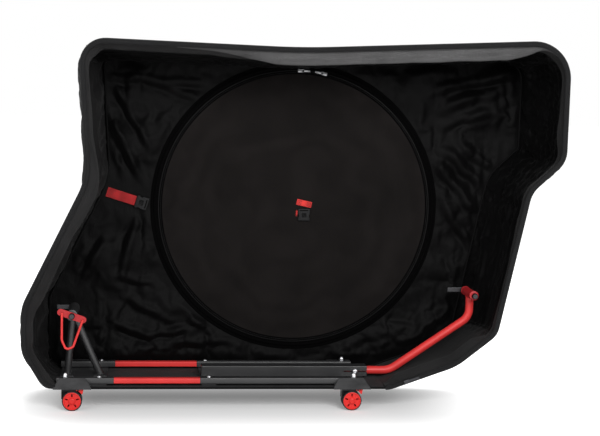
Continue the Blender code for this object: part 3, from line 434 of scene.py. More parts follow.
def webbing(name, colour, rib, rough=0.7):
    """Ribbed webbing: ribs across, threads along, dull edges."""
    g = Surface(name)
    cloud = g.noise(40.0, 3.0)
    threads = g.weave(rib)
    light = g.ramp(threads, tone_pair((1, 1, 1), 0.0, 0.4, 0.5, 1.0))
    return g.done(
        Base_Color=g.mix(0.7, g.ramp(cloud, tone_pair(colour, 0.3, 0.75, 0.75, 1.25)), light, "MULTIPLY"),
        Roughness=g.span(cloud, rough - 0.1, rough + 0.1), Sheen_Weight=0.06, Specular_IOR_Level=0.2,
        Normal=g.bump(threads, 0.8, 0.0006))


def painted(name, colour, rough, wear=(0.06, 0.06, 0.062), gloss=0.3):
    """Coated metal: fine orange peel, dust in the roughness and faint long rub marks."""
    g = Surface(name)
    cloud = g.noise(14.0, 4.0)
    grain = g.noise(900.0, 2.0)
    scuff = g.noise(150.0, 5.0, 0.75, g.mapped((0.08, 1.0, 1.0)))
    rubbed = g.math("MULTIPLY", g.math("SUBTRACT", scuff, 0.62, True), 2.5, True)
    dull = g.math("ADD", cloud, g.math("MULTIPLY", scuff, 0.6))
    return g.done(
        Base_Color=g.mix(rubbed, g.ramp(cloud, tone_pair(colour, 0.3, 0.88, 0.75, 1.12)), (*wear, 1.0)),
        Roughness=g.span(dull, rough - 0.1, rough + 0.14), Specular_IOR_Level=gloss,
        Coat_Weight=0.1, Coat_Roughness=0.25, Normal=g.bump(grain, 0.08, 0.0003))


def plastic(name, colour, rough, grain_size, grain_depth, coat=0.0, gloss=0.25, tones=(0.85, 1.2)):
    """Moulded plastic with a fine spark-eroded grain and scuffs."""
    g = Surface(name)
    cloud = g.noise(20.0, 3.0)
    grain = g.noise(grain_size, 3.0, 0.6)
    scuff = g.noise(90.0, 5.0, 0.8, g.mapped((0.3, 1.0, 1.0), (0.0, 0.4, 0.0)))
    mottled = g.math("ADD", g.math("MULTIPLY", cloud, 0.6), g.math("MULTIPLY", scuff, 0.4))
    return g.done(
        Base_Color=g.ramp(mottled, tone_pair(colour, 0.3, tones[0], 0.75, tones[1])),
        Roughness=g.span(scuff, rough - 0.1, rough + 0.15), Specular_IOR_Level=gloss,
        Coat_Weight=coat, Coat_Roughness=0.2, Normal=g.bump(grain, grain_depth, 0.0004))


def metal(name, colour, rough):
    """Plated or turned metal with fine turning marks and light smudges."""
    g = Surface(name)
    smudge = g.noise(60.0, 4.0)
    marks = g.noise(1400.0, 2.0, 0.5, g.mapped((0.2, 0.2, 1.0)))
    dull = g.math("ADD", smudge, g.math("MULTIPLY", marks, 0.5))
    return g.done(
        Base_Color=g.ramp(smudge, tone_pair(colour, 0.3, 0.85, 0.8, 1.05)), Metallic=1.0,
        Roughness=g.span(dull, rough * 0.7, rough * 1.5), Normal=g.bump(marks, 0.15, 0.0002))


# Cloths: name, colour, thread period, roughness, sheen, crease, weave, fade and gloss
# The lining's near-black tone is painted shade: it stands in for the shade deep inside the case.
lining_painted_shade = fabric("nylon_lining", (0.0018, 0.0017, 0.0018), 0.0009, 0.42, 0.02, 0.5, 0.3, 1.6, 0.045)
# The rear gusset's lining is a lighter copy of the same lining: painted light on that wall.
wall_lining_painted_light = fabric("wall_lining_painted_light", (0.0080, 0.0077, 0.0079), 0.0009, 0.60, 0.03, 0.9, 0.5, 1.8, 0.06)
# The facing's lighter tone is partly its own cloth and partly painted light on the rim.
facing_cloth_and_painted_light = fabric("rim_facing_cloth", (0.0165, 0.0162, 0.0165), 0.0013, 0.62, 0.04, 0.9, 0.6, 1.6)
# The pocket's edge cloth is darker than black cloth: partly its own dark tape and partly painted shade round
# the raised pocket.
pocket_edge_cloth_and_painted_shade = fabric("pocket_edge", (0.0011, 0.0010, 0.0011), 0.0012, 0.85, 0.01, 0.8, 0.5, 1.2, 0.03)
flap_cloth = fabric("rim_flap_cloth", (0.078, 0.077, 0.078), 0.0013, 0.70, 0.05, 0.9, 0.6, 1.4)
pocket_cloth = fabric("pocket_cloth", (0.0097, 0.0084, 0.0081), 0.0012, 0.78, 0.03, 0.25, 0.5, 1.3, 0.05)
board_cloth = fabric("floor_cloth", (0.012, 0.012, 0.013), 0.0016, 0.65, 0.03, 0.3, 0.7, 1.4)
ramp_cloth = fabric("ramp_cloth", (0.0095, 0.0094, 0.0097), 0.0016, 0.62, 0.03, 0.4, 0.7, 1.4)
patch_cloth = fabric("patch_cloth", (0.024, 0.024, 0.025), 0.0016, 0.62, 0.04, 0.4, 0.7, 1.4)
rim_tape_cloth = fabric("rim_tape_cloth", (0.0115, 0.0115, 0.012), 0.0008, 0.7, 0.02, 0.2, 0.6, 1.3)
rim_binding_cloth = fabric("rim_binding_cloth", (0.015, 0.015, 0.0155), 0.0010, 0.65, 0.04, 0.3, 0.7, 1.3)
binding_cloth = fabric("binding_cloth", (0.0045, 0.0045, 0.0048), 0.0010, 0.65, 0.02, 0.3, 0.7, 1.3, 0.08)
thread = webbing("sewing_thread", (0.030, 0.030, 0.031), 0.0004, 0.6)
red_webbing = webbing("red_webbing", (0.42, 0.022, 0.024), 0.0017)
bright_webbing = webbing("bright_red_webbing", (0.90, 0.055, 0.050), 0.0015)
black_webbing = webbing("black_webbing", (0.014, 0.014, 0.015), 0.0019)
# Plastics: name, colour, roughness, grain size and depth, coat, gloss and tones
coil_plastic = plastic("zip_coil", (0.006, 0.006, 0.0065), 0.40, 900.0, 0.1, 0.0, 0.15)
black_plastic = plastic("black_plastic", (0.008, 0.008, 0.0085), 0.42, 600.0, 0.35, 0.0, 0.12)
bracket_plastic = plastic("bracket_plastic", (0.032, 0.032, 0.033), 0.5, 420.0, 0.8, 0.0, 0.2, (0.45, 2.1))
red_plastic = plastic("red_plastic", (0.68, 0.026, 0.022), 0.38, 700.0, 0.12, 0.05)
tread_rubber = plastic("tread_rubber", (0.012, 0.012, 0.013), 0.75, 350.0, 0.5)
black_paint = painted("black_paint", (0.019, 0.019, 0.020), 0.34, gloss=0.5)
red_paint = painted("red_paint", (0.72, 0.040, 0.038), 0.36, (0.66, 0.10, 0.10))
# A darker copy of the red paint: painted shade on the guard plate; the fork hub wears it too.
red_paint_in_painted_shade = painted("red_paint_in_painted_shade", (0.42, 0.016, 0.020), 0.40, (0.5, 0.08, 0.08))
silver = metal("bright_steel", (0.72, 0.72, 0.74), 0.22)
dull_steel = metal("dull_steel", (0.34, 0.34, 0.35), 0.30)
dark_steel = metal("dark_steel", (0.050, 0.050, 0.053), 0.32)


def dress(obj, material, stands_for=(), body="case"):
    """Gives a piece its material, its body and the nodes that it stands for."""
    obj.data.materials.clear()
    obj.data.materials.append(material)
    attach(obj, body)
    if stands_for:
        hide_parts(*stands_for)
    return obj


# Cloth
CLOTH_FRAMES = 26
MOST_SLIDE = 0.012


def settle(obj, pinned, grow, bending, gravity, most_in, most_out, normals):
    """Lets slack cloth buckle between its pinned points, then keeps every point near where it began."""
    rest = np.array([v.co for v in obj.data.vertices])
    obj.vertex_groups.new(name="pins").add([int(i) for i in np.nonzero(pinned)[0]], 1.0, "REPLACE")
    cloth = obj.modifiers.new("cloth", "CLOTH")
    setting = cloth.settings
    setting.quality = 4
    setting.mass = 0.25
    setting.tension_stiffness = setting.compression_stiffness = 12
    setting.shear_stiffness = 4
    setting.bending_stiffness = bending
    setting.tension_damping = setting.compression_damping = setting.shear_damping = 6
    setting.bending_damping = 1.0
    setting.air_damping = 3.0
    setting.shrink_min = setting.shrink_max = -grow
    setting.vertex_group_mass = "pins"
    setting.effector_weights.gravity = gravity
    cloth.collision_settings.use_collision = False
    cloth.collision_settings.use_self_collision = False
    cloth.point_cache.frame_start, cloth.point_cache.frame_end = 1, CLOTH_FRAMES
    for step in range(1, CLOTH_FRAMES + 1):
        scene.frame_set(step)
    graph = bpy.context.evaluated_depsgraph_get()
    shift = np.array([v.co for v in obj.evaluated_get(graph).data.vertices]) - rest
    obj.modifiers.remove(cloth)
    scene.frame_set(1)
    bpy.data.objects.remove(obj)
    out = np.einsum("ij,ij->i", shift, normals)
    capped = np.where(out > 0, most_out * np.tanh(out / most_out), most_in * np.tanh(out / most_in))
    tangent = shift - out[:, None] * normals
    length = np.maximum(np.linalg.norm(tangent, axis=1), 1e-9)
    tangent *= (np.minimum(length, MOST_SLIDE) / length)[:, None]
    return rest + tangent + capped[:, None] * normals


def grid_normals(grid, outward):
    """Unit normals of a grid of points, turned to point along outward."""
    n = np.cross(np.gradient(grid, axis=1), np.gradient(grid, axis=0))
    n /= np.maximum(np.linalg.norm(n, axis=2, keepdims=True), 1e-9)
    return n if (n * outward).sum() > 0 else -n


def upsampled(grid):
    """Twice as many rows and columns, on smooth curves through the old points."""
    for axis in (0, 1):
        g = np.moveaxis(grid, axis, 0)
        wide = np.concatenate([2 * g[:1] - g[1:2], g, 2 * g[-1:] - g[-2:-1]])
        between = (9 * (wide[1:-2] + wide[2:-1]) - wide[:-3] - wide[3:]) / 16
        out = np.empty((2 * len(g) - 1,) + g.shape[1:])
        out[0::2], out[1::2] = g, between
        grid = np.moveaxis(out, 0, axis)
    return grid


def bell(values, low, high, soft):
    """One between low and high, easing to zero over soft on either side."""
    rise = np.clip((values - low + soft) / soft, 0, 1)
    fall = np.clip((high + soft - values) / soft, 0, 1)
    both = np.minimum(rise, fall)
    return both * both * (3 - 2 * both)


def creases(places, scale, seed):
    """Sharp-ridged noise from 0 to 1, like crumpled cloth."""
    warp = field(places, scale * 2.5, seed + 7.0, octaves=2)
    moved = places + warp[:, None] * scale * 0.6
    return np.clip(1 - np.abs(field(moved, scale, seed, octaves=2)) * 2.6, 0, 1) ** 2


def fold_lines(x, z, lines):
    """Raised folds, each with a hollow beside it: start, stop, half width and height of each."""
    total = np.zeros(len(x))
    wobble = 0.012 * field(np.stack([x, np.zeros(len(x)), z], axis=1), 0.10, 17.0, octaves=2)
    for x0, z0, x1, z1, half, height in lines:
        along = np.array([x1 - x0, z1 - z0])
        length = np.linalg.norm(along)
        along /= length
        travel = (x - x0) * along[0] + (z - z0) * along[1]
        off = (z - z0) * along[0] - (x - x0) * along[1] + wobble
        fade = bell(travel, length * 0.18, length * 0.82, length * 0.34)
        total += height * fade * (np.exp(-(off / half) ** 2)
                                  - 0.5 * np.exp(-((off + 1.8 * half) / half) ** 2))
    return total


def flattened(u, v):
    """Places on the unrolled wall: run along the rim and depth."""
    return np.stack([u.ravel(), v.ravel(), np.zeros(u.size)], axis=1)


# Walls of the case
WALL_SPACING = 0.0085
STEPS = outline_steps(WALL_SPACING)
ROWS = 34
SHARES = [k / (ROWS - 1) for k in range(ROWS)]
COUNT = sum(a + e for a, e in STEPS)
WALL_START, WALL_STOP = arc_index(RAMP_START, 0), COUNT + arc_index(HEEL, 2)
WALL_COLUMNS = [i % COUNT for i in range(WALL_START, WALL_STOP + 1)]
# Columns of the seams between the wall's strips; then each strip's node, first and last column and cloth
SEAMS = [arc_index(corner, 1) - WALL_START for corner in (TOE, TOP_FRONT, TOP_REAR)]
STRIPS = (("ramp_panel", 0, SEAMS[0], ramp_cloth), ("front_gusset", SEAMS[0], SEAMS[1], lining_painted_shade),
          ("top_gusset", SEAMS[1], SEAMS[2], lining_painted_shade),
          ("rear_gusset", SEAMS[2], WALL_STOP - WALL_START, wall_lining_painted_light))
CENTRE = np.array([0.0, 0.0, 0.49])
middle_grid = wall_grid(WALL / 2, SHARES)[:, WALL_COLUMNS]
outward = middle_grid - CENTRE
outward[:, :, 1] = 0
NORMALS = grid_normals(middle_grid, outward).reshape(-1, 3)
run = distances(middle_grid[0])
flat_places = flattened(*np.meshgrid(run, np.array(SHARES) * DEPTH))
column_of = np.arange(middle_grid.shape[1])
last_column = len(column_of) - 1
# The ramp stays flat, and so does the wall where the rear casters swivel under it
soft_columns = climb(column_of, SEAMS[0] - 4, 12) * climb(-column_of, -last_column - 1, 6)
heel_free = climb(-column_of, 4 - last_column, 8)[None, :, None]


def settled_wall():
    seeds = 0.0022 * field(flat_places, 0.055, 3.0, (1.0, 0.35, 1.0), 3)
    seeds += 0.0020 * field(flat_places, 0.16, 9.0, (0.5, 1.0, 1.0), 2)
    free = np.minimum(1, np.sin(np.pi * np.array(SHARES)) * 2.0)[:, None] * soft_columns[None, :]
    start = middle_grid.reshape(-1, 3) + (seeds * free.ravel())[:, None] * NORMALS
    pins = np.zeros(middle_grid.shape[:2])
    pins[[0, -1]] = 1
    pins[:, [0, -1]] = 1
    pins[:, :SEAMS[0] - 2] = 1
    cloth = mesh_object("wall_cloth", start, grid_faces(*middle_grid.shape[:2]))
    shape = settle(cloth, pins.ravel(), 0.045, 1.2, 0.12, 0.017, 0.008, NORMALS)
    return middle_grid + (shape.reshape(middle_grid.shape) - middle_grid) * heel_free


def on_fine_columns(values):
    """Values of the wall's columns, for the columns of the finer wall."""
    return np.interp(np.arange(wall.shape[1]) / 2, column_of, values)


wall = upsampled(settled_wall())
wall_normals = grid_normals(wall, upsampled(outward))
fine_u, fine_v = np.meshgrid(on_fine_columns(run), np.linspace(0, DEPTH, wall.shape[0]))
fine_places = flattened(fine_u, fine_v)
seam_run = [run[seam] for seam in SEAMS]
u_flat = fine_places[:, 0]
knobbly = bell(u_flat, seam_run[0] + 0.34, seam_run[1] + 0.02, 0.10)
drawn = bell(u_flat, seam_run[2], run[-1], 0.10) + bell(u_flat, seam_run[0], seam_run[0] + 0.30, 0.10)
crumple = creases(fine_places, 0.045, 21.0) * 0.0016 + creases(fine_places, 0.018, 5.0) * 0.0005
crumple += knobbly * (creases(fine_places, 0.042, 41.0) * 0.0062 + creases(fine_places, 0.022, 15.0) * 0.0022)
long_ridges = 1 - np.abs(field(fine_places, 0.060, 27.0, (0.16, 1.0, 1.0), 2)) * 2.4
crumple += drawn * (np.clip(long_ridges, 0, 1) ** 2 * 0.0078 - 0.002)
crumple *= (climb(fine_v, 0.022, 0.045) * np.clip((DEPTH - fine_v) / 0.03, 0, 1)
            * on_fine_columns(0.15 + 0.85 * soft_columns)).ravel()
wall = wall - (crumple.reshape(wall.shape[:2]))[:, :, None] * wall_normals
HALF_CLOTH = 0.0013
INNER, OUTER = wall - wall_normals * HALF_CLOTH, wall + wall_normals * HALF_CLOTH
for node, first, last, cloth in STRIPS:
    strip = cloth_sheet(node + "_cloth", wall[:, 2 * first:2 * last + 1], 2 * HALF_CLOTH)
    dress(strip, cloth, [node])


def rim_path(inset, y):
    """Points along the case's near edge, at this inset and depth."""
    return at_depth(outline([inset] * len(RIM))[WALL_COLUMNS], y)


def smoothed(values, columns, rows):
    """A grid of values blurred along its columns and rows."""
    for axis, width in ((1, columns), (0, rows)):
        reach = int(3 * width)
        kernel = np.exp(-0.5 * (np.arange(-reach, reach + 1) / width) ** 2)
        kernel /= kernel.sum()
        values = np.apply_along_axis(
            lambda line: np.convolve(np.pad(line, reach, mode="edge"), kernel, "valid"), axis, values)
    return values


plain = upsampled(middle_grid)
plain_inward = -grid_normals(plain, upsampled(outward))
sunk = ((INNER - plain) * plain_inward).sum(axis=2)
BED = plain + plain_inward * (smoothed(sunk, 5, 1.5) + 0.0006)[:, :, None]

# Bands sewn round the rim: a facing, and a flap that hangs loose along the top
FACING_WIDTH = 0.043
BAND_ROWS = 16
FLAP_WIDTH = 0.033
FLAP_ENDS = (-0.305, 0.64)
rim_x = wall[0, :, 0]
on_top = (wall[0, :, 2] > 0.80) & (wall_normals[0, :, 2] > 0.3)
hang = bell(rim_x, 0.03, 1.0, 0.30) * bell(rim_x, -1.0, 0.53, 0.17) * on_top
rim_run = fine_u[0]
soft_rim = on_fine_columns(soft_columns)


def along_rim(scale, seed):
    return np.array([noise.fractal(Vector((u / scale, seed, 0.0)), 0.6, 2.0, 2) for u in rim_run])


slow, sway = along_rim(0.30, 8.1), along_rim(0.13, 3.3)
thin = climb(-rim_x, 0.12, 0.10) * climb(rim_x, -0.52, 0.06) * on_top
at_front = bell(rim_run, seam_run[0] - 0.02, seam_run[1] + 0.06, 0.10)
turned_in = (26 + 9 * np.clip(slow, -0.9, 1) + 6 * sway) * (1 - 0.8 * thin) * (1 - 0.80 * at_front)
turned_in *= 1 - 0.9 * hang
at_ramp = bell(rim_run, 0.045, seam_run[0] - 0.06, 0.045)
droop = np.radians(2 + soft_rim * turned_in + at_ramp * (24 + 3 * sway))


def rim_band(index, angle, width, raised, loose):
    """A grid of points of a cloth band sewn along the rim, from its seam to its free hem."""
    rows = []
    for k in range(BAND_ROWS):
        share = k / (BAND_ROWS - 1)
        reach = width * share
        ahead = reach * np.cos(angle) / DEPTH * (wall.shape[0] - 1)
        low = np.minimum(ahead.astype(int), wall.shape[0] - 2)
        part = (ahead - low)[:, None]
        base = BED[low, index] * (1 - part) + BED[low + 1, index] * part
        inward = plain_inward[low, index].copy()
        inward[:, 1] = 0
        inward = unit(inward)
        rolls = np.array([noise.fractal(Vector((u / 0.11, share * 2.6, 5.0)), 0.55, 2.0, 3)
                          for u in rim_run[index]])
        belly = 0.0034 * math.sin(math.pi * share)
        lift = 0.0012 + raised + reach * np.sin(angle) + soft_rim[index] * belly
        push = 0.0048 * rolls * math.sin(math.pi * min(1.0, share * 1.3)) ** 0.7 * loose * soft_rim[index]
        point = base + inward * np.maximum(lift, 0.001)[:, None]
        point[:, 1] = np.maximum(point[:, 1] + push * np.sin(angle), NEAR_Y - 0.0012)
        rows.append(point + inward * (push * np.cos(angle))[:, None].clip(-0.0008, 1))
    return np.array(rows)


def sewn(name, seams):
    """Rows of stitches as one piece."""
    dress(joined(name, seams), thread)


def rim_cloth(name, grid, cloth):
    """The band as a piece, with a row of stitches along its seam and one along its hem."""
    band = dress(cloth_sheet(name, grid, 0.0011), cloth)
    normals = grid_normals(grid, grid - CENTRE)
    sewn(name + "_stitching", [stitches("seam", grid[row] - normals[row] * 0.0009, -normals[row])
                               for row in (2, BAND_ROWS - 2)])
    return band


all_round = np.arange(len(rim_run))
facing_grid = rim_band(all_round, droop, np.full(len(rim_run), FACING_WIDTH), 0.0, 0.45)
facing = rim_cloth("rim_facing", facing_grid, facing_cloth_and_painted_light)

on_flap = np.nonzero(on_top & (rim_x > FLAP_ENDS[0]) & (rim_x < FLAP_ENDS[1]))[0]
on_flap = np.arange(on_flap[0], on_flap[-1] + 1)
narrow = np.minimum(climb(rim_x[on_flap], FLAP_ENDS[0], 0.24),
                    np.clip((FLAP_ENDS[1] - rim_x[on_flap]) / 0.13, 0, 1))
flap_width = FLAP_WIDTH * (0.12 + 0.88 * narrow ** 0.8)
flap_droop = np.radians(4 + hang * (60 + 6 * sway))[on_flap]
flap_grid = rim_band(on_flap, flap_droop, flap_width, 0.0016, 0.45 + 0.55 * hang[on_flap])
flap = rim_cloth("rim_flap", flap_grid, flap_cloth)

# Binding, zip tape and coil along the near edge
binding_full = climb(-column_of, -last_column, 3)
binding_path = rim_path(0.0022, NEAR_Y - 0.0004)
binding_path += (rim_path(0.0004, NEAR_Y - 0.0004) - binding_path) * binding_full[:, None]
binding = tube("rim_binding", binding_path, 0.0008 + 0.0019 * binding_full)
dress(binding, rim_binding_cloth)

TAPE_OUT, TAPE_IN, TAPE_Y = 0.0015, 0.0105, -0.1404
tape_rows = [rim_path(TAPE_OUT + (TAPE_IN - TAPE_OUT) * k / 4, TAPE_Y + 0.0004 * math.sin(math.pi * k / 4))
             for k in range(5)]
ripples = 0.0006 * field(tape_rows[2], 0.05, 2.0)
tape_grid = np.array([row + np.array([0, 1, 0]) * (ripples * k / 4)[:, None]
                      for k, row in enumerate(tape_rows)])
tape = dress(cloth_sheet("rim_zip_tape", tape_grid, 0.0009), rim_tape_cloth, ["rim_zip"])

# One tooth of a coil: its corners, along and across the tape and up, and its faces
TOOTH = ((-1, -1, -1), (1, -1, -1), (1, 1, -1), (-1, 1, -1),
         (-0.6, -0.8, 1), (0.6, -0.8, 1), (0.6, 0.8, 1), (-0.6, 0.8, 1))
TOOTH_FACES = ((3, 2, 1, 0), (4, 5, 6, 7), (0, 1, 5, 4), (1, 2, 6, 5), (2, 3, 7, 6), (3, 0, 4, 7))
COIL_PITCH = 0.0026


def coil(name, path, side, size):
    """Teeth of a zip's coil along a path; side is the unit vector across the tape at each point."""
    travel = distances(path)
    places = np.arange(0, travel[-1], COIL_PITCH)
    at, across = sampled(path, travel, places), sampled(side, travel, places)
    up = np.array([0, -1.0, 0])
    points, faces = [], []
    for p, s, a in zip(at, across, np.cross(up, across)):
        faces += [tuple(len(points) + i for i in quad) for quad in TOOTH_FACES]
        points += [p + a * u * size[0] / 2 + s * v * size[1] / 2 + up * w * size[2] / 2 for u, v, w in TOOTH]
    return facing_out(mesh_object(name, points, faces))


inner_edge, outer_edge = rim_path(TAPE_IN, TAPE_Y), rim_path(TAPE_OUT, TAPE_Y)
across_tape = unit(inner_edge - outer_edge)
teeth_path = inner_edge + across_tape * 0.0006 + np.array([0, -0.0007, 0])
teeth = coil("rim_zip_coil", teeth_path, across_tape, (0.0012, 0.0026, 0.0014))
dress(teeth, coil_plastic)
tape_seam = stitches("rim_zip_seam", rim_path(0.0042, TAPE_Y - 0.0008), (0, -1, 0), 0.003, 0.005, 0.0004)
dress(tape_seam, thread)

# Piping over the far seam, inside and out, and taped seams between the strips
for name, inset, y, radius, cloth in (("far_seam_inside", 0.0052, 0.1318, 0.0027, lining_painted_shade),
                                      ("far_seam_piping", -0.0002, 0.1392, 0.0029, binding_cloth)):
    piping = tube(name, at_depth(outline(tapered(inset)), y), radius, 8, closed=True)
    dress(piping, cloth)
pieces = []
for number, seam in enumerate(SEAMS):
    for side, skin, sign in (("in", INNER, -1), ("out", OUTER, 1)):
        lift = wall_normals[1:-1, 2 * seam] * sign
        ridge = tube(f"strip_seam_{number}_{side}", skin[1:-1, 2 * seam] + lift * 0.0006, 0.0015, 8)
        dress(ridge, binding_cloth)
        pieces += [stitches("strip_stitch", skin[1:-1, 2 * seam + offset] + lift * 0.0002, lift)
                   for offset in (-2, 2)]
sewn("strip_stitching", pieces)

# Far panel: padded cloth between the seam and the wheel pocket
PANEL_MIDDLE = 0.1356
AROUND = 192
PANEL_PITCH = 0.0095
ROW_RATIO = 0.866
PANEL_EDGE = outline([0.0055] + tapered(0.0010)[1:])


def inside(polygon, points):
    x, y = points[:, 0], points[:, 1]
    hit = np.zeros(len(points), bool)
    for (x0, y0), (x1, y1) in zip(polygon, np.roll(polygon, -1, axis=0)):
        crosses = (y0 > y) != (y1 > y)
        if y0 != y1:
            hit ^= crosses & (x < (x1 - x0) * (y - y0) / (y1 - y0) + x0)
    return hit


def gap_to(points, others):
    """Distance from each point to the nearest of the others."""
    return np.sqrt(((points[:, None, :] - others[None, :, :]) ** 2).sum(2)).min(1)


def pocket_gap_of(points):
    return np.hypot(points[:, 0] - POCKET.x, points[:, 1] - POCKET.z) - POCKET_R


def ring_path(radius, y, steps=AROUND):
    """Points of a circle round the pocket's middle."""
    turn = np.linspace(0, 2 * np.pi, steps, endpoint=False)
    x, z = POCKET.x + radius * np.cos(turn), POCKET.z + radius * np.sin(turn)
    return np.stack([x, np.full(steps, y), z], axis=1)


def closed_loop(count, first=0):
    return [(first + i, first + (i + 1) % count) for i in range(count)]


def panel_mesh():
    """Points in x and z and faces of the panel, on a triangular grid that follows both its seams."""
    ring = ring_path(POCKET_R, 0.0, 180)[:, [0, 2]]
    low, high = PANEL_EDGE.min(0), PANEL_EDGE.max(0)
    grid = []
    for j in range(int((high[1] - low[1]) / (PANEL_PITCH * ROW_RATIO)) + 1):
        xs = np.arange(low[0] + (j % 2) * PANEL_PITCH / 2, high[0], PANEL_PITCH)
        grid.append(np.stack([xs, np.full(len(xs), low[1] + j * PANEL_PITCH * ROW_RATIO)], axis=1))
    grid = np.concatenate(grid)
    grid = grid[inside(PANEL_EDGE, grid)]
    clear = gap_to(grid, PANEL_EDGE[::2]) > PANEL_PITCH * 0.6
    grid = grid[clear & (np.abs(pocket_gap_of(grid)) > PANEL_PITCH * 0.55)]
    points = [Vector(p) for p in np.concatenate([PANEL_EDGE, ring, grid])]
    links = closed_loop(len(PANEL_EDGE)) + closed_loop(len(ring), len(PANEL_EDGE))
    found = geometry.delaunay_2d_cdt(points, links, [], 1, 0.00001)
    return np.array([tuple(p) for p in found[0]]), [tuple(f) for f in found[2]]


panel_flat, panel_faces = panel_mesh()
edge_gap, pocket_gap = gap_to(panel_flat, PANEL_EDGE), pocket_gap_of(panel_flat)
# The panel stays near its plane by the rear lever and the rear strap
LEVER_AT, STRAP_AT = (-0.58, 0.222), (-0.42, 0.507)
lever_gap = np.hypot(panel_flat[:, 0] - LEVER_AT[0], panel_flat[:, 1] - LEVER_AT[1])
strap_gap = np.hypot((panel_flat[:, 0] - STRAP_AT[0]) * 0.7, panel_flat[:, 1] - STRAP_AT[1])
panel_free = climb(edge_gap, 0, 0.03) * climb(pocket_gap, 0, 0.03)
panel_free *= np.clip((lever_gap - 0.02) / 0.10, 0.25, 1) * climb(strap_gap, 0.03, 0.05)


def settled_panel():
    places = at_depth(panel_flat, PANEL_MIDDLE)
    sway = field(places, 0.09, 31.0, (1, 1, 0.4), 3)
    start = places + np.array([0, -1, 0]) * ((0.001 + 0.0035 * sway) * panel_free)[:, None]
    pins = (edge_gap < 0.002) | (pocket_gap < 0.003)
    facing_far = np.broadcast_to(np.array([0.0, 1.0, 0.0]), places.shape)
    cloth = mesh_object("panel_cloth", start, panel_faces)
    shape = settle(cloth, pins, 0.035, 1.0, 0.10, 0.012, 0.004, facing_far)
    return places + (shape - places) * np.maximum(panel_free, 0.02)[:, None]


# Folds of the panel, in mm: x and z of the start and of the stop, half width and height
PANEL_FOLDS = np.array((
    (-494, 770, -394, 560, 11, 13.5), (-480, 672, -427, 556, 8, 8.5), (-450, 782, -360, 640, 10, 9.5),
    (-417, 622, -367, 510, 8, 7.5), (-372, 475, -345, 385, 10, 8.5), (-394, 445, -430, 310, 9, 10),
    (-345, 440, -297, 300, 10, 10.5), (-318, 390, -268, 255, 9, 8.5), (-442, 300, -350, 280, 8, 8),
    (-482, 395, -519, 290, 10, 9), (-442, 176, -343, 126, 10, 10.5), (-367, 139, -268, 163, 9, 10.5),
    (-293, 121, -144, 136, 8, 8), (-420, 240, -330, 195, 10, 9), (-250, 190, -190, 140, 8, 7.5),
    (-480, 815, -220, 800, 10, 9), (-330, 800, -230, 745, 9, 7.5), (385, 612, 514, 470, 11, 13),
    (425, 632, 550, 515, 10, 11.5), (462, 650, 575, 570, 9, 8), (400, 520, 485, 385, 11, 10),
    (470, 430, 515, 320, 9, 8.5), (405, 700, 530, 742, 10, 7), (420, 755, 575, 805, 12, 10),
    (380, 795, 590, 842, 14, 13), (451, 250, 500, 190, 9, 9), (352, 151, 440, 205, 9, 9),
    (300, 130, 380, 150, 8, 7.5),
)) / 1000
panel_points = settled_panel()
panel_folds = fold_lines(panel_points[:, 0], panel_points[:, 2], PANEL_FOLDS)
low_crumple = bell(panel_points[:, 2], 0.0, 0.17, 0.08) * creases(panel_points, 0.040, 52.0) * 0.0045
rough_panel = creases(panel_points, 0.06, 12.0) * 0.0016 + creases(panel_points, 0.026, 33.0) * 0.0006
panel_points[:, 1] -= (panel_folds + low_crumple + rough_panel) * panel_free
PANEL_CLOTH = 0.0056
panel = solid("far_panel_cloth", panel_points, panel_faces, 180)
thicken(modified(panel, "round", "SUBSURF", levels=1, render_levels=1), PANEL_CLOTH)
dress(panel, lining_painted_shade, ["far_panel"])


# Wheel pocket: a taut disc with a zip round it
PANEL_GAP = 0.0014
DISC_R = 0.3565
DISC_Y = 0.1262
DISC_RINGS = 44
disc_points = [(POCKET.x, DISC_Y, POCKET.z)]
for r in range(1, DISC_RINGS + 1):
    share = r / DISC_RINGS
    for k in range(AROUND):
        angle = 2 * math.pi * k / AROUND
        c, s = math.cos(angle), math.sin(angle)
        x, z = POCKET.x + DISC_R * share * c, POCKET.z + DISC_R * share * s
        puckers = 0.0009 * noise.noise(Vector((c * 9, s * 9, share * 1.2))) * share ** 5
        slack = 0.0012 * noise.fractal(Vector((x / 0.16, 4.0, z / 0.16)), 0.6, 2.0, 2) * (1 - share ** 4)
        disc_points.append((x, DISC_Y + 0.0034 * share ** 2.2 - puckers - slack, z))
disc_faces = [(0, a, b) for a, b in closed_loop(AROUND, 1)]
disc_faces += [tuple(1 + i for i in face) for face in grid_faces(DISC_RINGS, AROUND, closed=True)]
disc = thicken(solid("wheel_pocket_cloth", disc_points, disc_faces, 180), 0.0011)
dress(disc, pocket_cloth, ["wheel_pocket"])


def flat_ring(name, rows, thickness=0.0008):
    """A taped ring round the pocket, as thin cloth: radius and y of each row of its points."""
    grid = np.array([ring_path(radius, y) for radius, y in rows])
    return dress(cloth_sheet(name, grid, thickness, closed=True), pocket_edge_cloth_and_painted_shade)


def pocket_tube(name, radius, y, thick, sides):
    piece = tube(name, ring_path(radius, y), thick, sides, closed=True)
    return dress(piece, pocket_edge_cloth_and_painted_shade)


panel_tree = bvhtree.BVHTree.FromPolygons([Vector(p) for p in panel_points], panel_faces)


def on_panel(radius):
    """Depths just inside the panel's inner face at each point of a circle."""
    row = ring_path(radius, 0.0)
    depth = np.full(len(row), PANEL_MIDDLE)
    for _ in range(3):
        depth = np.array([panel_tree.find_nearest(Vector((x, y, z)))[0].y
                          for (x, _, z), y in zip(row, depth)])
    return depth - PANEL_CLOTH / 2 - PANEL_GAP


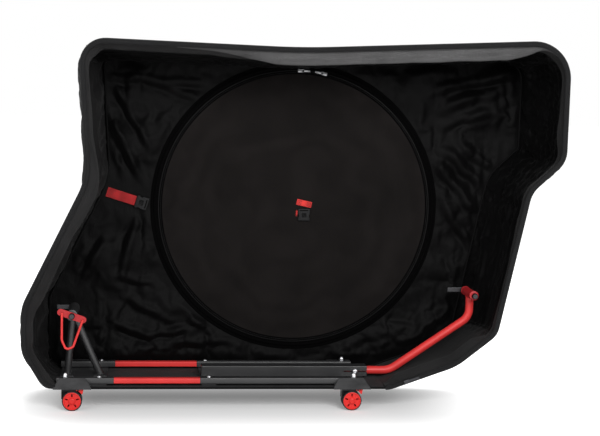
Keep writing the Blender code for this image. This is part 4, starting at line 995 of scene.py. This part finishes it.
ZIP_Y = 0.1288
ring_closed = np.concatenate([ring_path(DISC_R, ZIP_Y), ring_path(DISC_R, ZIP_Y)[:1]])
outwards = unit(ring_closed - np.array([POCKET.x, ZIP_Y, POCKET.z]))
seam_closed = np.concatenate([ring_path(DISC_R - 0.0048, 0.1277)] * 2)[:AROUND + 1]
pocket_pieces = [
    flat_ring("wheel_pocket_collar",
              [(DISC_R + 0.0015 + 0.0075 * k / 3, 0.1302 + 0.0002 * k) for k in range(4)], 0.0009),
    pocket_tube("wheel_pocket_piping", POCKET_R, 0.1294, 0.0029, 10),
    pocket_tube("wheel_pocket_binding", DISC_R - 0.0078, 0.1286, 0.0012, 8),
    flat_ring("wheel_pocket_tape",
              [(DISC_R - 0.0074, 0.1282), (DISC_R - 0.0050, 0.1283), (DISC_R - 0.0016, 0.1287)]),
    # The edging is a dark sheet laid on the panel round the pocket: partly dark tape, partly painted shade
    # beside the pocket's edge.
    flat_ring("wheel_pocket_edging_and_painted_shade",
              [(POCKET_R + out, on_panel(POCKET_R + out)) for out in (0.0016, 0.0045, 0.0080, 0.0115)]),
    dress(coil("wheel_pocket_coil", ring_closed, outwards, (0.0012, 0.0030, 0.0012)), coil_plastic),
    dress(stitches("wheel_pocket_seam", seam_closed, (0, -1, 0)), thread),
]


# The tab in the pocket's middle and the strap at the rear
def slab(name, low, high, radius, segments=3):
    """A box with rounded edges."""
    bm = bmesh.new()
    size, middle = Vector(high) - Vector(low), (Vector(high) + Vector(low)) / 2
    bmesh.ops.create_cube(bm, size=1.0, matrix=Matrix.Translation(middle) @ Matrix.Diagonal((*size, 1.0)))
    bmesh.ops.bevel(bm, geom=bm.edges[:], offset=radius, segments=segments, affect="EDGES", profile=0.5)
    return smooth(from_bmesh(name, bm), 35)


def ribbon(name, path, side, width, thickness, rib=0.0017, depth=0.00018):
    """Webbing along a path of points, ribbed across, with rounded edges; side is its width direction."""
    path = np.array([tuple(p) for p in path], float)
    travel = distances(path)
    places = np.linspace(0, travel[-1], max(3, int(travel[-1] / rib * 4)))
    at = sampled(path, travel, places)
    along = unit(np.gradient(at, axis=0))
    side = np.array(side, float)
    across = unit(side - along * (along @ side)[:, None])
    up = np.cross(across, along)
    section = [(-1.0, 0.0), (-0.97, 0.8), (-0.88, 1.0), (-0.5, 1.0), (0.0, 1.0), (0.5, 1.0), (0.88, 1.0),
               (0.97, 0.8), (1.0, 0.0), (0.97, -0.8), (0.88, -1.0), (0.0, -1.0), (-0.88, -1.0), (-0.97, -0.8)]
    points = []
    for place, p, a, u in zip(places, at, across, up):
        swell = thickness / 2 + depth * math.cos(2 * math.pi * place / rib)
        points += [p + a * wide * width / 2 + u * high * swell for wide, high in section]
    sides = len(section)
    faces = grid_faces(len(at), sides, closed=True) + end_caps(len(at), sides)
    return solid(name, points, faces, 60)


def cut(obj, tools):
    """Takes the tools out of a mesh and drops them."""
    for tool in tools:
        modified(obj, "cut", "BOOLEAN", operation="DIFFERENCE", solver="EXACT", object=tool)
        bpy.context.view_layer.update()
        mesh = bpy.data.meshes.new_from_object(obj.evaluated_get(bpy.context.evaluated_depsgraph_get()))
        obj.modifiers.clear()
        obj.data = mesh
        bpy.data.objects.remove(tool)
    return obj


def shifted(obj, matrix):
    obj.data.transform(matrix)
    return obj


def moved(obj, *place):
    """Moves a mesh within its object."""
    return shifted(obj, Matrix.Translation(place))


def block(name, x, y, z, radius, segments=3):
    """A slab from its low and high x, y and z."""
    return slab(name, (x[0], y[0], z[0]), (x[1], y[1], z[1]), radius, segments)


def buckle(name, width, height, thick):
    """A side-release buckle lying in the XZ plane, its back at y = 0 and its middle at the origin."""
    def part(name, x, y, z, radius, segments=2):
        return block(name, [width * v for v in x], [thick * v for v in y], [height * v for v in z],
                     radius, segments)
    body = block(name, (-width / 2, width / 2), (-thick, 0), (-height / 2, height / 2), thick * 0.28)
    window = part("window", (-0.20, 0.20), (-1.5, -0.45), (-0.22, 0.12), 0.0008)
    sides = [part("side", (s * 0.5 - 0.09, s * 0.5 + 0.09), (-1.4, 0.4), (-0.24, 0.02), 0.0015)
             for s in (-1, 1)]
    slot = part("slot", (-0.36, 0.36), (-1.4, 0.4), (0.30, 0.38), 0.0006)
    body = cut(body, [window, *sides, slot])
    ridges = [part("ridge", (-0.16, 0.16), (-0.86, -0.40), (-0.17 + 0.075 * k, -0.14 + 0.075 * k), 0.0004, 1)
              for k in range(4)]
    return smooth(joined(name, [body, *ridges]), 35)


def cross_stitch(name, centre, half_u, half_v, turn, y, lift):
    """A boxed X of stitches in the XZ plane, turned about Y."""
    a, b, c, d = (-half_u, -half_v), (half_u, -half_v), (half_u, half_v), (-half_u, half_v)
    loops = [a, b, c, d, a, c, d, b]
    c, s = math.cos(turn), math.sin(turn)
    path = []
    for (u0, v0), (u1, v1) in zip(loops, loops[1:]):
        for k in range(6):
            u, v = u0 + (u1 - u0) * k / 5, v0 + (v1 - v0) * k / 5
            path.append((centre[0] + u * c + v * s, y, centre[1] - u * s + v * c))
    return stitches(name, path, lift, 0.0022, 0.0032, 0.00035)


def zip_pull(angle, turn):
    """A slider on the pocket's coil with its pull lying along the zip; turn is 1 or -1."""
    body = block("body", (-0.0060, 0.0060), (-0.0030, 0.0010), (-0.0042, 0.0042), 0.0010)
    bridge = tube("bridge", [(x, y, 0) for x, y in ((-0.0042, -0.0028), (-0.0030, -0.0050), (0.0030, -0.0050),
                                                    (0.0042, -0.0028))], 0.0008, 8)
    ring = tube("ring", [(turn * (0.0070 + 0.0038 * math.cos(a)), -0.0040, 0.0034 * math.sin(a))
                         for a in (2 * math.pi * k / 24 for k in range(24))], 0.0008, 8, closed=True)
    middle, hole = turn * 0.0180, turn * 0.0225
    tag = block("tag", (middle - 0.0080, middle + 0.0080), (-0.0046, -0.0034), (-0.0024, 0.0024), 0.0005)
    slit = block("slit", (hole - 0.0018, hole + 0.0018), (-0.01, 0.01), (-0.0010, 0.0010), 0.0004, 2)
    tag = cut(tag, [slit])
    whole = joined("pull", [body, bridge, ring, tag])
    spin = Matrix.Rotation(math.pi / 2 - angle, 4, "Y")
    x, z = POCKET.x + DISC_R * math.cos(angle), POCKET.z + DISC_R * math.sin(angle)
    return shifted(whole, Matrix.Translation((x, 0.1270, z)) @ spin)


pulls = [zip_pull(math.radians(degrees), turn) for degrees, turn in ((89.0, 1), (78.5, -1))]
dress(smooth(joined("wheel_pocket_pulls", pulls), 35), dull_steel)

TAB = (0.041, 0.493)
TAB_TILT = math.radians(12)
hub_buckle = moved(buckle("hub_buckle_body", 0.0315, 0.0325, 0.0068), TAB[0], 0.1274, 0.4633)
dress(hub_buckle, black_plastic, ["hub_buckle"])
tilt = Matrix.Translation((TAB[0], 0.1256, TAB[1])) @ Matrix.Rotation(TAB_TILT, 4, "Y")
tab_path = [(-0.0195, 0.0012, 0), (-0.018, -0.0006, 0), (-0.010, -0.0016, 0), (0.0, -0.0019, 0),
            (0.010, -0.0016, 0), (0.018, -0.0006, 0), (0.0195, 0.0012, 0)]
hub_tab = shifted(ribbon("hub_strap_webbing", tab_path, (0, 0, 1), 0.0158, 0.0024), tilt)
dress(hub_tab, bright_webbing, ["hub_strap"])
edge_path = [(0.0225, 0.1268, 0.484), (0.0222, 0.1262, 0.470), (0.0205, 0.1266, 0.452)]
dress(ribbon("hub_strap_tail", edge_path, (1, 0, 0), 0.0048, 0.0014), bright_webbing)
box_ends = [(TAB[0] + end * math.cos(TAB_TILT), TAB[1] - end * math.sin(TAB_TILT))
            for end in (-0.0125, 0.0125)]
boxes = [cross_stitch("tab_box", centre, 0.0042, 0.0052, TAB_TILT, 0.1224, (0, -1, 0)) for centre in box_ends]
sewn("hub_strap_stitching", boxes)

STRAP_TILT = math.radians(17)
STRAP = Matrix.Translation((-0.4725, 0.1317, 0.516)) @ Matrix.Rotation(STRAP_TILT, 4, "Y")
strap_path = [(0.0, 0.0002, 0), (0.006, -0.0012, 0), (0.02, -0.0022, 0), (0.045, -0.0034, 0),
              (0.062, -0.0040, 0), (0.0775, -0.0042, 0)]
rear_strap = shifted(ribbon("rear_strap_webbing", strap_path, (0, 0, 1), 0.0255, 0.0019), STRAP)
dress(rear_strap, red_webbing, ["rear_strap"])
rear_buckle = buckle("rear_strap_buckle_body", 0.0335, 0.0335, 0.0086)
shifted(rear_buckle, Matrix.Rotation(math.radians(90), 4, "Y"))
shifted(rear_buckle, STRAP @ Matrix.Translation((0.0933, 0.0, 0.0)))
dress(rear_buckle, black_plastic, ["rear_strap_buckle"])
anchor = (STRAP @ Vector((0.013, 0, 0))).xz
anchor = cross_stitch("rear_strap_stitching", anchor, 0.0085, 0.0092, STRAP_TILT, 0.1288, (0, -1, 0))
dress(anchor, thread)

# Carrying handle on the closed side
HANDLE_X, HANDLE_Z = 0.02, 0.70
handle_x = np.array([-0.150 + 0.300 * k / 60 for k in range(61)])
handle_y = 0.1412 + 0.0085 * bell(handle_x, -0.085, 0.085, 0.035)
handle_path = [(HANDLE_X + x, y, HANDLE_Z) for x, y in zip(handle_x, handle_y)]
handle = ribbon("carry_handle_webbing", handle_path, (0, 0, 1), 0.0318, 0.0026)
dress(handle, black_webbing, ["carry_handle"])
GRIP_ROWS, GRIP_AROUND = 34, 20
grip_points = []
for i in range(GRIP_ROWS):
    share = i / (GRIP_ROWS - 1)
    swell = 1 - 0.25 * abs(2 * share - 1) ** 6
    dent = 1 - 0.02 * math.cos(share * math.pi * 16)
    for k in range(GRIP_AROUND):
        angle = 2 * math.pi * k / GRIP_AROUND
        u, v = math.cos(angle), math.sin(angle)
        y = 0.1497 + 0.0052 * swell * math.copysign(abs(v) ** 0.8, v) * dent
        z = HANDLE_Z + 0.0195 * swell * math.copysign(abs(u) ** 0.7, u)
        grip_points.append((HANDLE_X - 0.065 + 0.130 * share, y, z))
grip_faces = grid_faces(GRIP_ROWS, GRIP_AROUND, closed=True) + end_caps(GRIP_ROWS, GRIP_AROUND)
grip = solid("carry_handle_grip", grip_points, grip_faces, 60)
dress(grip, black_webbing)
pieces = [cross_stitch("handle_box", (HANDLE_X + end, HANDLE_Z), 0.0135, 0.0125, 0.0, 0.1428, (0, 1, 0))
          for end in (-0.132, 0.132)]
grip_seam = [(HANDLE_X - 0.062 + 0.124 * k / 20, 0.1551, HANDLE_Z - 0.006) for k in range(21)]
pieces.append(stitches("grip_seam", grip_seam, (0, 1, 0)))
sewn("carry_handle_stitching", pieces)

# Floor panel: a bound board
low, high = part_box("floor_panel")
COLUMNS, DEEP = 70, 26
points = []
for z, wavy in ((high.z - 0.0004, True), (low.z + 0.0003, False)):
    for r in range(DEEP + 1):
        for c in range(COLUMNS + 1):
            x = low.x + (high.x - low.x) * c / COLUMNS
            y = low.y + 0.001 + (high.y - low.y - 0.002) * r / DEEP
            wave = 0.0005 * noise.fractal(Vector((x / 0.05, y / 0.05, z * 9)), 0.6, 2.0, 2)
            points.append((x, y, z + wave - 0.0004 if wavy else z))
width = COLUMNS + 1
area = width * (DEEP + 1)
faces = [tuple(base + i for i in face) for base in (0, area) for face in grid_faces(DEEP + 1, width)]
border = [*range(width)] + [r * width + COLUMNS for r in range(1, DEEP + 1)]
border += [DEEP * width + c for c in range(COLUMNS - 1, -1, -1)] + [r * width for r in range(DEEP - 1, 0, -1)]
faces += [(a, b, b + area, a + area) for a, b in zip(border, border[1:] + border[:1])]
board = bevel(solid("floor_board", points, faces, 40), 0.0008, 2)
dress(board, board_cloth, ["floor_panel"])
floor_edge = [(low.x + (high.x - low.x) * k / 60, low.y + 0.0006, (high.z + low.z) / 2) for k in range(61)]
floor_binding = ribbon("floor_binding", floor_edge, (0, 0, 1), 0.0054, 0.0024, 0.0012, 0.00006)
dress(floor_binding, binding_cloth)
seam_x = np.linspace(low.x + 0.004, high.x - 0.004, 120)
seams = [[(x, low.y + 0.001 + d, high.z - 0.0003) for x in seam_x] for d in (0.006, 0.268)]
sewn("floor_stitching", [stitches("floor_seam", seam, (0, 0, 1)) for seam in seams])

# Wear patch outside the ramp
low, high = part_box("wear_patch")
PATCH_INSET = -0.0010
patch_flat = outline([PATCH_INSET] * len(RIM))[WALL_COLUMNS]
on_patch = np.nonzero((patch_flat[:, 0] > low.x - 0.001) & (patch_flat[:, 0] < high.x + 0.001)
                      & (patch_flat[:, 1] < high.z + 0.02) & (column_of < SEAMS[0]))[0]
patch_grid = wall_grid(PATCH_INSET, np.linspace(0.006, 0.82, 24))[:, WALL_COLUMNS]
patch_grid = upsampled(patch_grid[:, on_patch[0]:on_patch[-1] + 1])
patch_out = grid_normals(patch_grid, np.broadcast_to(np.array([0.3, 0.0, -1.0]), patch_grid.shape))
patch = dress(cloth_sheet("wear_patch_cloth", patch_grid, 0.0014), patch_cloth, ["wear_patch"])
middle = slice(1, -1)
pieces = [stitches("patch_seam", patch_grid[line] + patch_out[line] * 0.0009, patch_out[line])
          for line in ((1, middle), (-2, middle), (middle, 1), (middle, -2))]
sewn("wear_patch_stitching", pieces)


# Base frame: rails and screws, then stands, hubs and skewers
def lathe(name, profile, axis="Y", steps=48, angle=35):
    """A closed profile of (radius, height) points turned about an axis through the origin."""
    points, faces, rings = [], [], []
    for radius, height in profile:
        count = steps if radius > 1e-7 else 1
        rings.append(range(len(points), len(points) + count))
        for k in range(count):
            a = 2 * math.pi * k / steps
            x, y = radius * math.cos(a), radius * math.sin(a)
            points.append((x, height, -y) if axis == "Y" else (x, y, height))
    for one, two in zip(rings, rings[1:]):
        if len(one) == len(two) == 1:
            continue
        for k, j in closed_loop(steps):
            if len(one) == 1:
                faces.append((one[0], two[k], two[j]))
            elif len(two) == 1:
                faces.append((one[k], one[j], two[0]))
            else:
                faces.append((one[k], one[j], two[j], two[k]))
    return solid(name, points, faces, angle)


RIM_SOFT = 0.0003


def tube_beam(name, low, high, z, radius, wall):
    """A hollow rail along X with rounded corners and softened ends, in the box from low to high."""
    width, height = high.y - low.y, high.z - low.z

    def ring(shrink, r):
        points = []
        for cx, cz, start in ((1, 1, 0), (-1, 1, 90), (-1, -1, 180), (1, -1, 270)):
            for a in (math.radians(start + 15 * k) for k in range(7)):
                points.append(((width / 2 - shrink - r) * cx + r * math.cos(a),
                               (height / 2 - shrink - r) * cz + r * math.sin(a)))
        return points
    outer, inner = ring(0, radius), ring(wall, max(radius - wall, RIM_SOFT))
    soft = ring(RIM_SOFT, radius - RIM_SOFT)
    loops = [(low.x + RIM_SOFT, outer), (high.x - RIM_SOFT, outer), (high.x, soft), (high.x, inner),
             (low.x, inner), (low.x, soft)]
    y, sides = (low.y + high.y) / 2, len(outer)
    points = [(x, y + u, z + v) for x, loop in loops for u, v in loop]
    return solid(name, points, grid_faces(len(loops), sides, closed=True) + end_joint(len(loops), sides), 40)


sleeve_low, sleeve_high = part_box("rail_sleeve_rear_near")
RAIL_Z, RAIL_TOP = (sleeve_low.z + sleeve_high.z) / 2, sleeve_high.z
for node, slot, paint, radius, wall in (("rail_sleeve_rear", "black_paint", black_paint, 0.0026, 0.0010),
                                        ("rail_sleeve_front", "black_paint", black_paint, 0.0026, 0.0010),
                                        ("rail_tube", "red_paint", red_paint, 0.0022, 0.0015)):
    for side in ("near", "far"):
        rail = tube_beam(f"{node}_{side}_shell", *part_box(f"{node}_{side}"), RAIL_Z, radius, wall)
        dress(rail, paint, [f"{node}_{side}"])


def domed(radius, low, height, skirt, steps=8):
    """Half profile of a screw's head: a straight skirt and a dome over it."""
    points = [(0, low), (radius - 0.0004, low), (radius, low + 0.0004), (radius, low + skirt)]
    for k in range(1, steps + 1):
        a = math.pi / 2 * k / steps
        across = radius * math.cos(a) if k < steps else 0
        points.append((across, low + skirt + (height - skirt) * math.sin(a)))
    return points


def disc_profile(radius, low, high):
    return [(0, low), (radius, low), (radius, high), (0, high)]


def socket_head(name, radius, low, height, skirt, socket, axis="Z"):
    """A domed head with a hexagonal socket."""
    head = lathe(name, domed(radius, low, height, skirt), axis)
    tool = lathe("hex", disc_profile(socket, low + height * 0.45, low + height * 1.5), axis, 6, 10)
    return smooth(cut(head, [tool]), 35)


def end_nut(name):
    """A domed nut on a flange, standing on a rail."""
    radius, top = 0.0075, RAIL_TOP
    dome = lathe("dome", domed(radius * 0.82, top + 0.0003, 0.0115, 0.0050), "Z")
    flange = lathe("flange", [(0, top + 0.0002), (radius, top + 0.0002), (radius, top + 0.0012),
                              (radius * 0.8, top + 0.0020), (0, top + 0.0020)], "Z")
    six = lathe("six", [(0, top + 0.0015), (radius * 0.92, top + 0.0015), (radius * 0.92, top + 0.0058),
                        (radius * 0.84, top + 0.0066), (0, top + 0.0066)], "Z", 6, 20)
    return smooth(joined(name, [dome, flange, six]), 30)


def middle_of(node):
    low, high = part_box(node)
    return (low + high) / 2


for side in ("near", "far"):
    for end in ("rear", "front"):
        for kind in ("screw", "nut"):
            node = f"rail_{kind}_{end}_{side}"
            head = end_nut(node + "_head") if kind == "nut" else socket_head(
                node + "_head", 0.0060, RAIL_TOP + 0.0003, 0.0035, 0.0012, 0.0023)
            moved(head, *middle_of(node).xy, 0)
            dress(head, silver, [node])

bolt = socket_head("clamp_bolt_head", 0.0070, 0.0203, 0.0080, 0.0042, 0.0032, "Y")
bolt_place = middle_of("clamp_bolt")
bolt_place.y = 0
shifted(bolt, Matrix.Translation(bolt_place) @ Matrix.Rotation(math.pi, 4, "Z"))
dress(bolt, silver, ["clamp_bolt"])

# CAD solids that stay: material and width of their softened edges
SPOTS = ("rear_near", "rear_far", "front_near", "front_far")
FINISHES = [(node, black_paint, 0.0006) for node in ("rear_crossplate", "middle_crossbar", "front_crossbar")]
# The guard plate's darker red is painted shade.
FINISHES += [("central_beam", black_paint, 0.0009), ("guard_plate", red_paint_in_painted_shade, 0.0006),
             ("zip_slider", dark_steel, 0.0004), ("fork_lever", dark_steel, 0.0008),
             ("rear_lever", dark_steel, 0.0008)]
for spot in SPOTS:
    FINISHES += [(f"caster_bracket_{spot}", bracket_plastic, 0.0011),
                 (f"caster_hood_{spot}", black_plastic, 0.0006),
                 (f"caster_pedal_{spot}", red_plastic, 0.0007)]
for node, finish, width in FINISHES:
    bevel(NODES[node], width, 3)
    NODES[node].data.materials.clear()
    NODES[node].data.materials.append(finish)


def bent(corners, step=math.radians(3)):
    """Points along straight runs in a plane with a round bend at each inner corner."""
    points = [Vector(corners[0][:2])]
    for before, (x, z, radius), after in zip(corners, corners[1:], corners[2:]):
        corner = Vector((x, z))
        back, ahead = (Vector(before[:2]) - corner).normalized(), (Vector(after[:2]) - corner).normalized()
        half = back.angle(ahead) / 2
        centre = corner + (back + ahead).normalized() * radius / math.sin(half)
        first = corner + back * radius / math.tan(half) - centre
        last = corner + ahead * radius / math.tan(half) - centre
        sweep = turn_of(first, last)
        count = max(4, round(abs(sweep) / step))
        for k in range(count + 1):
            c, s = math.cos(sweep * k / count), math.sin(sweep * k / count)
            points.append(centre + Vector((first.x * c - first.y * s, first.x * s + first.y * c)))
    points.append(Vector(corners[-1][:2]))
    return points


# Each hub's middle and half its length
FORK, FORK_HALF = Vector((0.463, 0.0, 0.2755)), 0.050
REAR, REAR_HALF = Vector((-0.551, 0.0, 0.222)), 0.065
route = bent([(-0.044, 0.0741, 0), (0.2566, 0.0741, 0.060), (0.463, 0.214, 0.040), (FORK.x, FORK.z, 0)])
stand = tube("fork_stand_tube", [(p.x, 0, p.y) for p in route], 0.0104, 28)
dress(stand, red_paint, ["fork_stand"], "fork_carriage")


def hub_barrel(name, half, radius, centre):
    """A hollow hub along Y, with a shallow waist between its end bands."""
    bore = 0.0049
    ends = [(bore, 0), (radius - 0.0012, 0), (radius - 0.0003, 0.0004), (radius, 0.0012), (radius, 0.006),
            (radius - 0.0008, 0.0068)]
    profile = [(r, -half + step) for r, step in ends] + [(r, half - step) for r, step in reversed(ends)]
    return moved(lathe(name, profile + [(bore, -half)]), *centre)


def weld(name, centre, radius, thickness, spread):
    """A bead of weld round a joint: a ring with small ripples, its axis along Z."""
    count = 72
    path = [(centre[0] + radius * math.cos(a), centre[1] + radius * math.sin(a),
             centre[2] - spread * math.sin(a) ** 2) for a in (2 * math.pi * k / count for k in range(count))]
    ripples = [thickness * (1 + 0.16 * math.cos(k * 2 * math.pi / 3)) for k in range(count)]
    return tube(name, path, ripples, 8, closed=True)


fork_hub = hub_barrel("fork_hub_barrel", FORK_HALF, 0.012, FORK)
fork_weld = weld("weld", (FORK.x, 0, FORK.z - 0.0070), 0.0106, 0.0014, 0.0040)
dress(joined("fork_hub_shell", [fork_hub, fork_weld]), red_paint_in_painted_shade, ["fork_hub"],
      "fork_carriage")
dress(hub_barrel("rear_hub_barrel", REAR_HALF, 0.014, REAR), black_paint, ["rear_hub"])


def skewer(name, half, extra, body, centre):
    """Axle rod with a knurled nut at its near end and an eye at its far end."""
    face = -(half + 0.006 + extra)
    nut_end = face - 0.010
    rod = lathe("rod", [(0, face - 0.001), (0.0045, face - 0.001), (0.0045, half + 0.005),
                        (0.0020, half + 0.0055), (0.0020, half + 0.012), (0, half + 0.012)])
    nut = lathe("nut", [(0, nut_end), (0.0058, nut_end), (0.0068, nut_end + 0.0012),
                        (0.0075, nut_end + 0.0022), (0.0075, face), (0, face)], "Y", 60, 20)
    knurls = 20
    for vertex in nut.data.vertices:
        if math.hypot(vertex.co.x, vertex.co.z) > 0.0070:
            turn = math.atan2(vertex.co.z, vertex.co.x)
            knurl = 1 - 0.045 * (0.5 + 0.5 * math.cos(turn * knurls))
            vertex.co.x *= knurl
            vertex.co.z *= knurl
    eye = lathe("eye", [(0, -0.0019), (0.0046, -0.0019), (0.0050, -0.0015), (0.0050, 0.0015),
                        (0.0046, 0.0019), (0, 0.0019)], "Z")
    moved(eye, 0, half + 0.014, 0)
    whole = moved(smooth(joined(name + "_rod", [rod, nut, eye]), 35), *centre)
    dress(whole, dark_steel, [name], body)


skewer("fork_skewer", FORK_HALF, 0.0, "fork_carriage", FORK)
skewer("rear_skewer", REAR_HALF, 0.0036, "case", REAR)

# Rear stand: two legs on plates, up to the hub
FOOT_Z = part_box("rear_stand")[0].z
pieces = []
for x in (-0.564, -0.482):
    plate = block("plate", (x - 0.0168, x + 0.0168), (-0.0298, 0.0298), (FOOT_Z, FOOT_Z + 0.003), 0.0007)
    top = REAR.xz + (Vector((x, FOOT_Z + 0.0015)) - REAR.xz).normalized() * 0.0134
    leg = tube("leg", [(x, 0, FOOT_Z + 0.0015), (top.x, 0, top.y)], 0.009, 28)
    bead = weld("bead", (x, 0, FOOT_Z + 0.0035), 0.0094, 0.0013, 0.0)
    bolts = [moved(socket_head("foot_bolt", 0.0042, FOOT_Z + 0.003, 0.0026, 0.001, 0.0017), x, y, 0)
             for y in (-0.021, 0.021)]
    pieces += [plate, leg, bead, *bolts]
dress(smooth(joined("rear_stand_frame", pieces), 35), black_paint, ["rear_stand"])

# Derailleur guard's rod
HOOP_Y = middle_of("guard_hoop").y
lean = math.tan(math.radians(-19))
hoop_route = bent([(-0.024, lean * -0.024, 0), (-0.024, -0.059, 0.020), (-0.013, -0.084, 0.009),
                   (0.004, -0.076, 0.009), (0.027, lean * 0.027, 0)], math.radians(8))
hoop = tube("guard_hoop_rod", [(REAR.x + p.x, HOOP_Y, REAR.z + p.y) for p in hoop_route], 0.0030, 18)
dress(hoop, red_paint, ["guard_hoop"], "derailleur_guard")


# Casters: red discs with slots, black treads and an axle through both
def twinned(name, part):
    """A wheel's part and its mirror image, for the two wheels of a caster."""
    twin = facing_out(shifted(linked(name, part.data.copy()), Matrix.Diagonal((1, -1, 1, 1))))
    return smooth(joined(name + "_pair", [part, twin]), 40)


def wheel_parts():
    """Discs, treads and axle of a caster's two wheels, which lie from inner to outer on both sides."""
    outer, inner, tread_r, disc_r = 0.0170, 0.0060, 0.02425, 0.0217
    side = [(disc_r, 0), (tread_r - 0.0016, 0), (tread_r - 0.0005, 0.0006), (tread_r, 0.0024)]
    profile = [(radius, inner + step) for radius, step in side]
    profile += [(radius, outer - step) for radius, step in reversed(side)]
    tread = lathe("tread", profile + [(disc_r, inner)], "Y", 72, 40)
    profile = [(0, inner + 0.0002), (disc_r, inner + 0.0002)]
    profile += [(radius, outer + step) for radius, step in (
        (disc_r, -0.0003), (disc_r - 0.0006, 0), (disc_r - 0.0024, 0), (disc_r - 0.0034, -0.0014),
        (0.0088, -0.0014), (0.0082, -0.0006), (0.0074, 0.0010), (0.0064, 0.0020), (0.0046, 0.0025),
        (0.0040, 0.0019), (0, 0.0017))]
    disc = lathe("disc", profile, "Y", 72, 40)
    slots = []
    for k in range(5):
        slot = block("slot", (0.0102, 0.0176), (inner - 0.002, outer + 0.002), (-0.0018, 0.0018), 0.0012, 2)
        slots.append(shifted(slot, Matrix.Rotation(math.radians(72 * k - 18), 4, "Y")))
    disc = smooth(cut(disc, slots), 40)
    axle = lathe("axle", disc_profile(0.0029, 0.0, inner + 0.0003), "Y", 32, 40)
    return [("discs", twinned("disc", disc), red_plastic, "wheel_red"),
            ("treads", twinned("tread", tread), tread_rubber, "black_plastic"),
            ("pin", twinned("pin", axle), silver, "steel_bright")]


WHEEL_PARTS = wheel_parts()
for spot in SPOTS:
    node = f"caster_wheels_{spot}"
    for part, source, material, slot in WHEEL_PARTS:
        copy = moved(linked(f"caster_{part}_{spot}", source.data.copy()), *middle_of(node))
        dress(copy, material, [node] if part == "discs" else (), f"wheels_{spot}")
for _, source, _, _ in WHEEL_PARTS:
    bpy.data.objects.remove(source)

# Floor: to seen rays it glows white away from the base, so that only its shadow shows
FLOOR_REACH = 40
corners = [(x * FLOOR_REACH, y * FLOOR_REACH, 0) for x, y in ((-1, -1), (1, -1), (1, 1), (-1, 1))]
floor = mesh_object("studio_floor", corners, [(0, 1, 2, 3)])
g = Surface("studio_floor")


def vector_step(operation, vector, by=(0, 0, 0)):
    return g.node("ShaderNodeVectorMath", {0: vector, 1: by}, operation=operation)


reach = g.place
for operation, by in (("ADD", (0.13, 0.06, 0)), ("ABSOLUTE", (0, 0, 0)), ("SUBTRACT", (0.36, 0.07, 0)),
                      ("MAXIMUM", (0, 0, 0))):
    reach = vector_step(operation, reach, by).outputs["Vector"]
reach = vector_step("LENGTH", reach).outputs["Value"]
away = g.node("ShaderNodeMapRange", {"Value": reach, "From Min": 0.0, "From Max": 0.38, "To Min": 0.20,
                                     "To Max": 0.90}, interpolation_type="SMOOTHSTEP")
tone = g.ramp(g.noise(3.0), [(0.3, (0.80, 0.80, 0.80)), (0.7, (0.82, 0.82, 0.82))])
floor.data.materials.append(g.done(
    Base_Color=tone, Roughness=0.9, Specular_IOR_Level=0.0, Emission_Color=(1, 1, 1, 1),
    Emission_Strength=g.math("MULTIPLY", g.seen_rays(), away.outputs["Result"])))

# Sky: white to seen rays, dimmer as a light
scene.world = bpy.data.worlds.new("studio")
scene.world.use_nodes = True
g = Graph(scene.world.node_tree)
background = g.tree.nodes["Background"].inputs
background["Color"].default_value = (1, 1, 1, 1)
g.put(background["Strength"], g.span(g.seen_rays(), 0.32, 1.0))

# Lamps: place, aim, size and power
for name, place, target, size, power in (
        ("key", (0.7, -3.5, 2.0), (0, 0, 0.55), (1.6, 1.6), 108),
        ("fill", (-2.2, -2.9, 1.9), (0, 0, 0.45), (1.8, 1.8), 26),
        ("top", (0.0, 0.75, 2.8), (0, 0, 0.4), (1.8, 1.2), 62)):
    light = bpy.data.lights.new(name, "AREA")
    light.shape = "RECTANGLE"
    light.size, light.size_y = size
    light.energy = power
    lamp = linked(name, light)
    lamp.location = place
    lamp.rotation_euler = (Vector(target) - Vector(place)).to_track_quat("-Z", "Y").to_euler()

# Camera, at the place and turn that the photo's edges give
camera_data = bpy.data.cameras.new("view")
camera_data.lens = 86.2
camera_data.sensor_width = 36
camera = linked("view", camera_data)
right, up, back = (0.99367, -0.11025, 0.02202), (-0.01244, 0.08682, 0.99616), (-0.11174, -0.99011, 0.08490)
turn = Matrix((right, up, back)).transposed().to_4x4()
camera.matrix_world = Matrix.Translation((-0.391, -3.615, 0.775)) @ turn
scene.camera = camera
